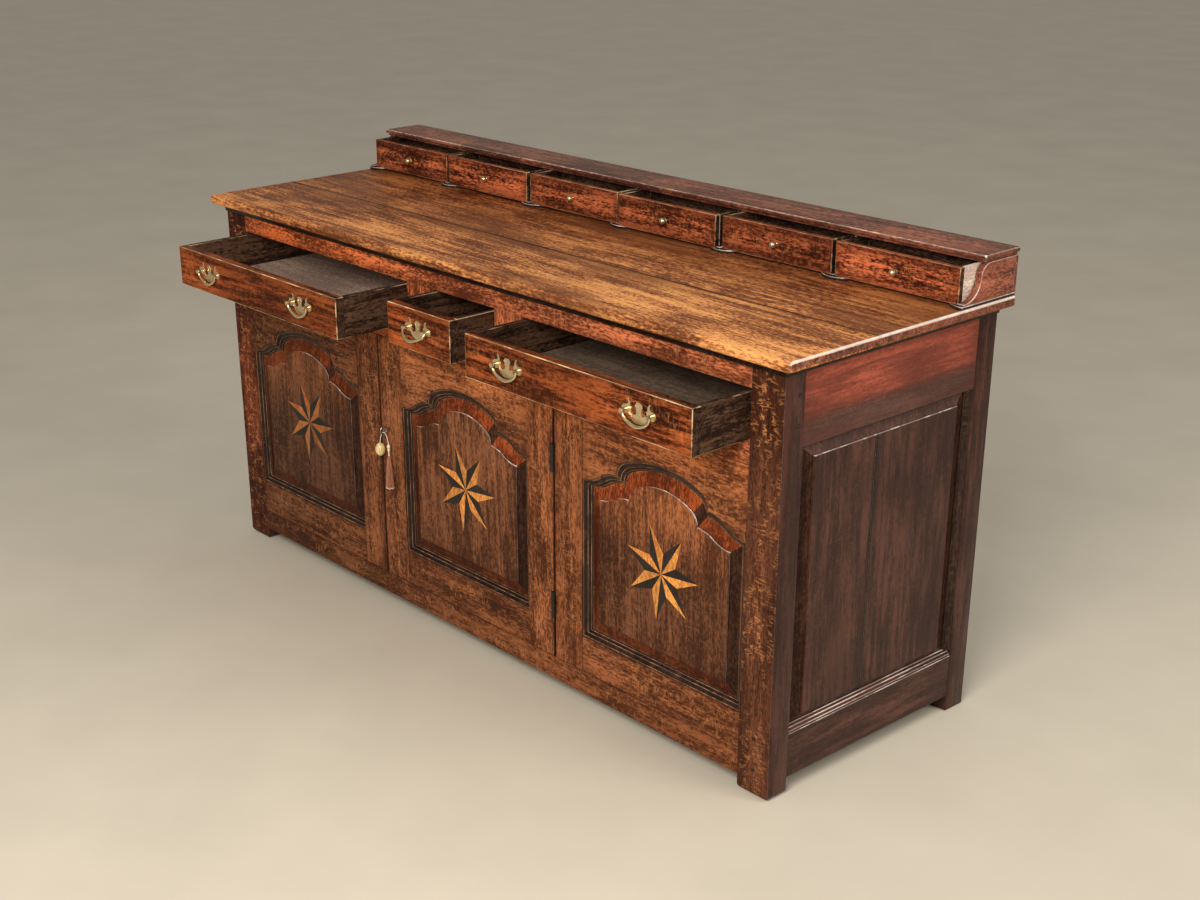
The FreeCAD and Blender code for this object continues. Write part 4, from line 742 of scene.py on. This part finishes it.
def fitting_finishes(colours):
    """Brass, iron, bone and silk of the fittings."""
    metal("Old brass", colours.brass, tarnish=0.40, rough=0.22, metallic=0.92, patch_size=90)
    metal("Black iron", colours.iron, tarnish=0.5, rough=0.40, metallic=0.7, patch_size=70)
    metal("Handled iron", colours.key_iron, tarnish=0.7, rough=0.24, metallic=0.9, patch_size=160)
    bone("Bone bead", colours.bead)
    low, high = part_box("key_tassel")
    head = high.z - TASSEL_HEAD_FALL * (high.z - low.z)
    thread("Tassel thread", colours.thread, colours.thread_end, low.z, head)
    thread("Pale cord", colours.cord, colours.cord, low.z, head)


def finishes():
    """Builds every material once, and gives them back by name."""
    if "Front oak" not in bpy.data.materials:
        colours = bpy.context.scene.dresser_colours
        figure_group()
        arris_group()
        front_finishes(colours)
        top_and_end_finishes(colours)
        gallery_and_drawer_finishes(colours)
        fitting_finishes(colours)
    return bpy.data.materials


# Shaping helpers

def stand_for(piece, *nodes):
    """A piece takes the place of CAD nodes, on their body."""
    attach(piece, body_of[nodes[0]])
    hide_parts(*nodes)
    return piece


def linked(name, data):
    """A new object of some data, in the scene."""
    thing = bpy.data.objects.new(name, data)
    bpy.context.scene.collection.objects.link(thing)
    return thing


def new_piece(name, shape, materials, crisp=SMOOTH_ANGLE):
    """Makes an object of a bmesh, smooth over gentle turns and crisp over sharp ones."""
    mesh = bpy.data.meshes.new(name)
    shape.to_mesh(mesh)
    shape.free()
    for material in materials:
        mesh.materials.append(finishes()[material])
    mesh.polygons.foreach_set("use_smooth", [True] * len(mesh.polygons))
    mesh.set_sharp_from_angle(angle=crisp)
    return linked(name, mesh)


def board_corners(shape, mark, board):
    """The corners of one board, each once and in the order of its faces, so that every run is alike."""
    return list(dict.fromkeys(vert for face in shape.faces if face[mark] == board for vert in face.verts))


def board_marks(shape):
    """Numbers the boards of a CAD node, each of which ends where its skin closes, and welds each one."""
    mark = shape.faces.layers.int.new("board")
    number = 0
    waiting = set()
    for face in shape.faces:
        face[mark] = number
        corners = [tuple(round(part, 6) for part in vert.co) for vert in face.verts]
        for pair in zip(corners, corners[1:] + corners[:1]):
            if pair[::-1] in waiting:
                waiting.remove(pair[::-1])
            else:
                waiting.add(pair)
        if not waiting:
            number += 1
    count = number + bool(waiting)
    for board in range(count):
        bmesh.ops.remove_doubles(shape, verts=board_corners(shape, mark, board), dist=WELD)
    return mark, count


def lay_grain(shape, mark, count, along, seed, outside=None):
    """Gives each board its grain, its shade, and its distances to two corners, its own or a box's."""
    layers = shape.verts.layers
    grain = layers.float_vector.new("grain")
    low_layer = layers.float_vector.new("low")
    high_layer = layers.float_vector.new("high")
    shade = layers.float.new("shade")
    chance = random.Random(seed)
    for board in range(count):
        verts = board_corners(shape, mark, board)
        low = Vector([min(vert.co[axis] for vert in verts) for axis in range(3)])
        high = Vector([max(vert.co[axis] for vert in verts) for axis in range(3)])
        extent = high - low
        low, high = outside or (low, high)
        main = along if along is not None else max(range(3), key=lambda axis: extent[axis])
        turned = [main] + [axis for axis in range(3) if axis != main]
        shift = Vector([chance.uniform(0, GRAIN_SHIFT) for axis in range(3)])
        lean = chance.uniform(-GRAIN_LEAN, GRAIN_LEAN)
        dark = chance.random()
        for vert in verts:
            place = Vector([vert.co[axis] for axis in turned])
            place.y += lean * place.x
            vert[grain] = place + shift
            vert[low_layer] = vert.co - low
            vert[high_layer] = high - vert.co
            vert[shade] = dark


def caught_light(normal, light):
    """How strong the painted highlight on a rounded arris is, by the way it faces."""
    way, low, high = light
    return min(1.0, max(0.0, (normal.dot(way) - low) / (high - low)))


def middle_of(edge):
    """The middle of an edge."""
    return (edge.verts[0].co + edge.verts[1].co) / 2


def upright(edge, axis):
    """Whether an edge runs up more than it runs along an axis."""
    first, second = (vert.co for vert in edge.verts)
    return abs(first.z - second.z) > abs(first[axis] - second[axis])


def outer_edges(edges, low, high):
    """Keeps the edges that lie on the outside of a box, seen from above."""
    kept = []
    for edge in edges:
        middle = middle_of(edge)
        reach = [min(middle[axis] - low[axis], high[axis] - middle[axis]) for axis in (0, 1)]
        if min(reach) < OUTSIDE_REACH:
            kept.append(edge)
    return kept


def dress(node, materials, rounding, along=None, segments=2, crisp=SMOOTH_ANGLE, whole=False, boxed=False,
          pick=None, lit=None, spare=None):
    """A copy of a CAD node with welded boards, rounded arrises and each board's own grain.

    A whole node is rounded and worn on its outside only, and a boxed one is worn there only. On a lit node
    the rounded arrises take a painted highlight only where they face that light. Pick chooses a face's
    material, which else goes by its board's number. Spare tells the edges that stay sharp.
    """
    shape = bmesh.new()
    shape.from_mesh(frame["nodes"][node].data)
    mark, count = board_marks(shape)
    bmesh.ops.dissolve_limit(shape, angle_limit=LEVEL_ANGLE, verts=shape.verts, edges=shape.edges)
    arris = shape.faces.layers.float.new("arris")
    if rounding:
        sharp = [
            edge for edge in shape.edges
            if len(edge.link_faces) == 2 and edge.is_convex and edge.calc_face_angle(0.0) > SHARP_ANGLE
        ]
        if whole:
            sharp = outer_edges(sharp, *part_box(node))
        if spare:
            sharp = [edge for edge in sharp if not spare(edge)]
        made = bmesh.ops.bevel(shape, geom=sharp, offset=rounding, offset_type="OFFSET", segments=segments,
                               profile=0.5, affect="EDGES", clamp_overlap=True, material=-1)
        shape.normal_update()
        for face in made["faces"]:
            face[arris] = caught_light(face.normal, lit) if lit else 1.0
    lay_grain(shape, mark, count, along, node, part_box(node) if whole or boxed else None)
    shape.normal_update()
    for face in shape.faces:
        choice = pick(face, face[mark]) if pick else face[mark]
        face.material_index = min(choice, len(materials) - 1)
    return stand_for(new_piece(f"{node}_worked", shape, materials, crisp), node)


def post_part(face, board):
    """Tells a post's sides from its front."""
    return 1 if abs(face.normal.x) > abs(face.normal.y) else 0


def drawer_part(face, board):
    """Tells the ends of a drawer's front from the front itself, and else goes by the board."""
    return 1 if board == 0 and abs(face.normal.x) > END_SHARE else board


def end_panel_part(face, board):
    """Tells the upper slope of an end's panel, in a painted lit finish, its upright slopes, in a painted shaded
    finish, and the rest of it apart.
    """
    if UPPER_SLOPE < face.normal.z < END_SHARE:
        return 1
    return 2 if UPPER_SLOPE < abs(face.normal.y) < END_SHARE else 0


def shaded_edge_part(face, board):
    """Tells the right and left edges of boards, which take a darker finish as painted shade, from their other
    sides.
    """
    return 1 if abs(face.normal.x) > FLAT_SHARE else 0


def cap_part(face, board):
    """Tells the upper turn of the gallery cap's nose, which takes a painted highlight, from the rest of the cap.
    """
    return 1 if NOSE_LOW < face.normal.z < NOSE_HIGH else 0


def corner_joint(node):
    """A test of whether an edge is where a drawer's front meets its sides."""
    face_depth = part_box(node)[0].y

    def inside(edge):
        return JOINT_NEAR < middle_of(edge).y - face_depth < JOINT_FAR and upright(edge, 0)

    return inside


def board_joint(node):
    """A test of whether an edge is where two boards meet, midway in the depth."""
    low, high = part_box(node)

    def inside(edge):
        share = (middle_of(edge).y - low.y) / (high.y - low.y)
        return abs(share - 0.5) < JOINT_SHARE and upright(edge, 1)

    return inside


def star_seat(*nodes):
    """A test of whether an edge belongs to a seat that is cut for one of the stars."""
    seats = []
    for node in nodes:
        low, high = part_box(node)
        radius = (high.z - low.z) / 2
        seats += [(x, (low.z + high.z) / 2, radius) for x in (low.x + radius, high.x - radius)]

    def inside(edge):
        middle = middle_of(edge)
        return any(math.hypot(middle.x - x, middle.z - z) < SEAT_MARGIN * radius for x, z, radius in seats)

    return inside


def panel_part(face, board):
    """Tells a panel's flat field and ground from its slopes, which take a painted lit finish, and from those that
    face right, which take a painted shaded one.
    """
    if abs(face.normal.y) > FLAT_SHARE:
        return 0
    return 2 if face.normal.x > SHADED_SLOPE else 1


def round_curve(name, kind, places, radius):
    """A round curve with its one spline, which has a point at each place."""
    curve = bpy.data.curves.new(name, "CURVE")
    curve.dimensions = "3D"
    curve.bevel_depth = radius
    curve.bevel_resolution = 3
    spline = curve.splines.new(kind)
    spline.points.add(len(places) - 1)
    for point, place in zip(spline.points, places):
        point.co = (*place, 1.0)
    return curve, spline


def swelling_rod(places, radii):
    """A bmesh of a round rod through the places, as thick at each as its radius."""
    curve, spline = round_curve("rod", "POLY", places, 1.0)
    curve.use_fill_caps = True
    for point, radius in zip(spline.points, radii):
        point.radius = radius
    holder = bpy.data.objects.new("rod", curve)
    mesh = bpy.data.meshes.new_from_object(holder)
    shape = bmesh.new()
    shape.from_mesh(mesh)
    bmesh.ops.remove_doubles(shape, verts=shape.verts, dist=WELD)
    bmesh.ops.recalc_face_normals(shape, faces=shape.faces)
    bpy.data.objects.remove(holder)
    bpy.data.meshes.remove(mesh)
    bpy.data.curves.remove(curve)
    return shape


# Operators

class DRESSER_OT_posts_and_rails(bpy.types.Operator):
    """Oak posts, rails, muntins and pegs of the front"""

    bl_idname = "dresser.posts_and_rails"
    bl_label = "Posts and rails"

    def execute(self, context):
        timber = context.scene.dresser_timber
        dress("front_posts", ["Post oak", "Side oak"], timber.post_rounding, segments=3, pick=post_part)
        dress("back_posts", ["Side oak"], timber.post_rounding, segments=3, lit=SIDE_LIGHT)
        for node in ("frieze_rail", "drawer_dividers"):
            dress(node, ["Frieze oak"], timber.rail_rounding)
        dress("base_rail", ["Base oak"], timber.rail_rounding)
        # The frames' upright edge faces take the dark moulding oak as painted shade
        for node in ("fixed_panel_frames", "door_frame"):
            dress(node, ["Front oak", "Moulding oak"], timber.rail_rounding, pick=shaded_edge_part)
        dress("joint_pegs", ["Moulding oak"], 0)
        return {"FINISHED"}


class DRESSER_OT_panels(bpy.types.Operator):
    """Fielded panels with their mouldings and star inlay"""

    bl_idname = "dresser.panels"
    bl_label = "Panels and stars"

    def execute(self, context):
        timber = context.scene.dresser_timber
        seats = star_seat("fixed_stars_light", "door_star_light")
        for node, field in (("fixed_panels", "Panel oak"), ("door_panel", "Door panel oak")):
            dress(node, [field, "Lit bevel oak", "Shaded bevel oak"], timber.panel_rounding, along=2,
                  crisp=CRISP_ANGLE, pick=panel_part, lit=FRONT_LIGHT, spare=seats)
        for node in ("fixed_panel_mouldings", "door_moulding"):
            dress(node, ["Moulding oak"], timber.moulding_rounding, along=2, crisp=CRISP_ANGLE,
                  lit=MOULDING_LIGHT)
        for node in ("fixed_stars", "door_star"):
            dress(f"{node}_light", ["Light inlay"], 0, along=2)
            dress(f"{node}_dark", ["Dark inlay"], 0, along=2)
        return {"FINISHED"}


class DRESSER_OT_ends_and_back(bpy.types.Operator):
    """Ends, back, cupboard floor and drawer runners"""

    bl_idname = "dresser.ends_and_back"
    bl_label = "Ends and back"

    def execute(self, context):
        timber = context.scene.dresser_timber
        end_rails = ["Side oak", "Side rail oak", "Side oak", "Moulding oak"]
        dress("side_rails", end_rails + end_rails, timber.rail_rounding, crisp=CRISP_ANGLE, lit=SIDE_LIGHT)
        end_panels = ["Side panel oak", "Lit side slope oak", "Shaded bevel oak"]
        dress("side_panels", end_panels, timber.panel_rounding, along=2, crisp=CRISP_ANGLE,
              pick=end_panel_part, lit=SIDE_LIGHT, spare=board_joint("side_panels"))
        for node in ("back_rails", "back_boards", "cupboard_floor", "drawer_runners"):
            dress(node, ["Back oak"], timber.raw_rounding)
        return {"FINISHED"}


class DRESSER_OT_table_top(bpy.types.Operator):
    """Boards of the table top and the cove under them"""

    bl_idname = "dresser.table_top"
    bl_label = "Table top"

    def execute(self, context):
        timber = context.scene.dresser_timber
        # The top's end faces take the darker gallery oak as painted shade
        dress("top_boards", ["Top oak", "Gallery oak"], timber.top_rounding, segments=4, whole=True,
              pick=shaded_edge_part, lit=EDGE_LIGHT, spare=board_joint("top_boards"))
        dress("top_moulding", ["Moulding oak"], 0)
        return {"FINISHED"}


class DRESSER_OT_gallery(bpy.types.Operator):
    """Gallery that holds the spice drawers"""

    bl_idname = "dresser.gallery"
    bl_label = "Gallery"

    def execute(self, context):
        timber = context.scene.dresser_timber
        for node in ("gallery_base", "gallery_dividers"):
            dress(node, ["Tongue oak"], timber.gallery_rounding, lit=FRONT_LIGHT)
        for node in ("gallery_ends", "gallery_back"):
            dress(node, ["Gallery oak"], timber.gallery_rounding, lit=FRONT_LIGHT)
        dress("gallery_top", ["Cap oak", "Nose highlight oak"], timber.cap_rounding, pick=cap_part, lit=FRONT_LIGHT)
        return {"FINISHED"}


class DRESSER_OT_drawers(bpy.types.Operator):
    """Frieze drawers and spice drawers"""

    bl_idname = "dresser.drawers"
    bl_label = "Drawers"

    def execute(self, context):
        timber = context.scene.dresser_timber
        for drawer in FRIEZE_DRAWERS:
            boards = ["Drawer front oak"] + ["Raw oak"] * 3 + ["Drawer floor oak"]
            dress(drawer, boards, timber.drawer_rounding, boxed=True, pick=drawer_part,
                  spare=corner_joint(drawer))
        for number in range(1, SPICE_COUNT + 1):
            # The last spice drawer's right side takes a painted lit copy of the raw oak
            right_side = "Lit drawer side oak" if number == SPICE_COUNT else "Raw oak"
            boards = ["Spice front oak", "Raw oak", right_side, "Raw oak"]
            dress(f"spice_drawer_{number}", boards, timber.drawer_rounding, boxed=True, pick=drawer_part)
        return {"FINISHED"}


class DRESSER_OT_brass(bpy.types.Operator):
    """Back plates, bails and knobs"""

    bl_idname = "dresser.brass"
    bl_label = "Brass"

    def execute(self, context):
        fittings = context.scene.dresser_fittings
        for drawer in FRIEZE_DRAWERS:
            dress(f"{drawer}_plates", ["Old brass"], fittings.plate_rounding)
        for name in BAILS:
            self.bail(name, fittings)
        for number in range(1, SPICE_COUNT + 1):
            dress(f"spice_knob_{number}", ["Old brass"], 0)
        return {"FINISHED"}

    def bail(self, name, fittings):
        """A drop handle that swells towards its middle and hangs, or is lifted, as its node is."""
        low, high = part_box(name)
        axis = joint_place[f"{name}_swing"]
        middle_x = (low.x + high.x) / 2
        pin = (high.x - low.x) / 2
        reach = Vector((0, low.y - axis.y, low.z - axis.z))
        drop = math.hypot(reach.y, reach.z) - fittings.bail_end_radius
        lean = math.atan2(-reach.y, -reach.z) if -reach.y > 2 * fittings.bail_end_radius else 0.0
        down = Vector((0, -math.sin(lean), -math.cos(lean)))
        if lean:
            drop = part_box(BAILS[0])[1].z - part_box(BAILS[0])[0].z - 2 * fittings.bail_end_radius
        swell = fittings.bail_middle_radius - fittings.bail_end_radius
        places = []
        radii = []
        for step in range(BAIL_STEPS + 1):
            turn = math.pi * step / BAIL_STEPS
            side = -math.copysign(abs(math.cos(turn)) ** BAIL_SQUARENESS, math.cos(turn))
            fall = math.sin(turn) ** BAIL_FULLNESS
            places.append(Vector((middle_x + pin * side, axis.y, axis.z)) + down * drop * fall)
            radii.append(fittings.bail_end_radius + swell * math.sin(turn) ** 2)
        stand_for(new_piece(f"{name}_worked", swelling_rod(places, radii), ["Old brass"]), name)


class DRESSER_OT_ironwork(bpy.types.Operator):
    """Hinges, lock, bolt and key"""

    bl_idname = "dresser.ironwork"
    bl_label = "Ironwork"

    def execute(self, context):
        for node in ("hinge_fixed_leaves", "hinge_door_leaves", "door_lock", "lock_bolt"):
            dress(node, ["Black iron"], 0)
        dress("key", ["Handled iron"], 0)
        return {"FINISHED"}


class DRESSER_OT_tassel(bpy.types.Operator):
    """Cord, bead and tassel of the key"""

    bl_idname = "dresser.tassel"
    bl_label = "Tassel"

    def execute(self, context):
        bar = joint_place["tassel_hang"]
        route = [bar + Vector(offset) for offset in KEY_CORD_ROUTE]
        curve, spline = round_curve("key_cord_curve", "NURBS", route, CORD_RADIUS)
        curve.resolution_u = 12
        spline.order_u = 3
        spline.use_endpoint_u = True
        curve.materials.append(finishes()["Pale cord"])
        cord = stand_for(linked("key_cord_worked", curve), "key_cord")
        bead_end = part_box("key_bead")[0].z + BEAD_END_HEIGHT
        bead = dress("key_bead", ["Bone bead", "Black iron"], 0,
                     pick=lambda face, board: int(face.calc_center_median().z < bead_end))
        self.threads(context.scene.dresser_fittings)
        return {"FINISHED"}

    def threads(self, fittings):
        """A bound head turned from its outline, over a skirt of loose threads."""
        low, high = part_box("key_tassel")
        top = Vector(((low.x + high.x) / 2, (low.y + high.y) / 2, high.z))
        fall = high.z - low.z
        skirt = (high.x - low.x) / 2
        shape = bmesh.new()
        rim = [top + Vector((skirt * reach, 0, -fall * depth)) for reach, depth in TASSEL_HEAD_SHARES]
        verts = [shape.verts.new(place) for place in rim]
        edges = [shape.edges.new(pair) for pair in zip(verts, verts[1:])]
        bmesh.ops.spin(shape, geom=verts + edges, cent=top, axis=(0, 0, 1), angle=math.tau, steps=HEAD_STEPS,
                       use_merge=True)
        bmesh.ops.remove_doubles(shape, verts=shape.verts, dist=WELD)
        bmesh.ops.recalc_face_normals(shape, faces=shape.faces)
        chance = random.Random("tassel")
        for count in range(fittings.thread_count):
            angle = math.tau * count * GOLDEN_SHARE
            inward = math.sqrt(chance.uniform(*THREAD_INWARD))
            trim = chance.uniform(*THREAD_TRIM)
            sway = chance.uniform(*THREAD_SWAY)
            places = []
            for reach, depth in TASSEL_SKIRT_SHARES:
                turn = angle + sway * depth
                out = skirt * reach * inward - fittings.thread_radius
                offset = Vector((out * math.cos(turn), out * math.sin(turn), -fall * depth * trim))
                places.append(top + offset)
            strand = swelling_rod(places, [fittings.thread_radius] * len(places))
            mesh = bpy.data.meshes.new("strand")
            strand.to_mesh(mesh)
            strand.free()
            shape.from_mesh(mesh)
            bpy.data.meshes.remove(mesh)
        stand_for(new_piece("key_tassel_worked", shape, ["Tassel thread"]), "key_tassel")


class DRESSER_OT_stage(bpy.types.Operator):
    """Floor, lamps and camera"""

    bl_idname = "dresser.stage"
    bl_label = "Stage"

    def execute(self, context):
        stage = context.scene.dresser_stage
        self.floor(stage)
        self.lamps(context, stage)
        self.camera(context, stage)
        context.scene.view_settings.view_transform = "Standard"
        return {"FINISHED"}

    def floor(self, stage):
        """A large pale floor with a faint mottle."""
        shape = bmesh.new()
        bmesh.ops.create_grid(shape, x_segments=1, y_segments=1, size=FLOOR_SIZE)
        mesh = bpy.data.meshes.new("floor")
        shape.to_mesh(mesh)
        shape.free()
        material, tree, shader = shader_of("Pale floor")
        mottle = noise(tree, object_place(tree), FLOOR_MOTTLE, detail=5)
        tone = ramp(tree, mottle, stage.floor, (0.2, (0.93,) * 3), (0.8, (1.06,) * 3))
        feed_all(tree, shader, {"Base Color": tone, "Roughness": 0.75})
        mesh.materials.append(material)
        floor = linked("floor", mesh)

    def lamps(self, context, stage):
        """Even light from all round, a large lamp in front, and a weaker one on the right."""
        world = bpy.data.worlds.new("Studio")
        context.scene.world = world
        world.use_nodes = True
        tree = world.node_tree
        background = next(node for node in tree.nodes if node.type == "BACKGROUND")
        place = tree.nodes.new("ShaderNodeTexCoord").outputs["Generated"]
        parts = tree.nodes.new("ShaderNodeSeparateXYZ")
        tree.links.new(place, parts.inputs[0])
        sky = ramp(tree, parts.outputs[2], stage.surround, (0.0, (0.20,) * 3), (0.9, (1.7,) * 3))
        rays = tree.nodes.new("ShaderNodeLightPath").outputs
        seen = calc(tree, "MAXIMUM", rays["Is Camera Ray"], rays["Is Glossy Ray"])
        seen = calc(tree, "MAXIMUM", seen, rays["Is Transmission Ray"])
        strength = stage.surround_strength
        backdrop = opaque(stage.backdrop, (1 / strength,) * 3)
        feed_all(tree, background, {"Color": mix(tree, seen, sky, backdrop), "Strength": strength})
        self.lamp("key_lamp", KEY_LAMP_PLACE, stage.key_power)
        self.lamp("fill_lamp", FILL_LAMP_PLACE, stage.fill_power)

    def lamp(self, name, place, power):
        """A square lamp that faces the dresser."""
        light = bpy.data.lights.new(name, "AREA")
        light.energy = power
        light.size = LAMP_WIDTH
        lamp = linked(name, light)
        lamp.location = place
        lamp.rotation_euler = (LAMP_AIM - Vector(place)).to_track_quat("-Z", "Y").to_euler()

    def camera(self, context, stage):
        """A camera at the photograph's place and angle."""
        turn, rise, roll = stage.camera_turn, stage.camera_rise, stage.camera_roll
        back = Vector((math.sin(turn) * math.cos(rise), -math.cos(turn) * math.cos(rise), math.sin(rise)))
        level = Vector((math.cos(turn), math.sin(turn), 0))
        steep = back.cross(level)
        right = level * math.cos(roll) + steep * math.sin(roll)
        up = steep * math.cos(roll) - level * math.sin(roll)
        view = bpy.data.cameras.new("view")
        view.sensor_width = SENSOR_WIDTH
        view.lens = stage.camera_lens
        view.shift_x, view.shift_y = stage.camera_shift
        camera = linked("view", view)
        facing = Matrix((right, up, back)).transposed().to_4x4()
        camera.matrix_world = Matrix.Translation(stage.camera_place) @ facing
        context.scene.camera = camera


class DRESSER_PT_pieces(bpy.types.Panel):
    """Lists the pieces in the sidebar"""

    bl_label = "Oak dresser"
    bl_idname = "DRESSER_PT_pieces"
    bl_space_type = "VIEW_3D"
    bl_region_type = "UI"
    bl_category = "Dresser"

    def draw(self, context):
        for operator in OPERATORS:
            self.layout.operator(operator.bl_idname)


GROUPS = {
    "dresser_timber": DresserTimber,
    "dresser_colours": DresserColours,
    "dresser_fittings": DresserFittings,
    "dresser_stage": DresserStage,
}
OPERATORS = (
    DRESSER_OT_stage, DRESSER_OT_posts_and_rails, DRESSER_OT_panels, DRESSER_OT_ends_and_back,
    DRESSER_OT_table_top, DRESSER_OT_gallery, DRESSER_OT_drawers, DRESSER_OT_brass,
    DRESSER_OT_ironwork, DRESSER_OT_tassel,
)


def register():
    """Registers the classes and hangs the settings on the scene."""
    for group in GROUPS.values():
        bpy.utils.register_class(group)
    for operator in OPERATORS:
        bpy.utils.register_class(operator)
    bpy.utils.register_class(DRESSER_PT_pieces)
    for name, group in GROUPS.items():
        setattr(bpy.types.Scene, name, PointerProperty(type=group))


def unregister():
    """Takes the settings and the classes away again."""
    for name in GROUPS:
        delattr(bpy.types.Scene, name)
    bpy.utils.unregister_class(DRESSER_PT_pieces)
    for operator in reversed(OPERATORS):
        bpy.utils.unregister_class(operator)
    for group in reversed(GROUPS.values()):
        bpy.utils.unregister_class(group)


def main():
    """Registers the add-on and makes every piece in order."""
    register()
    bpy.ops.dresser.stage()
    bpy.ops.dresser.posts_and_rails()
    bpy.ops.dresser.panels()
    bpy.ops.dresser.ends_and_back()
    bpy.ops.dresser.table_top()
    bpy.ops.dresser.gallery()
    bpy.ops.dresser.drawers()
    bpy.ops.dresser.brass()
    bpy.ops.dresser.ironwork()
    bpy.ops.dresser.tassel()
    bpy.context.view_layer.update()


if __name__ == "__main__":
    main()
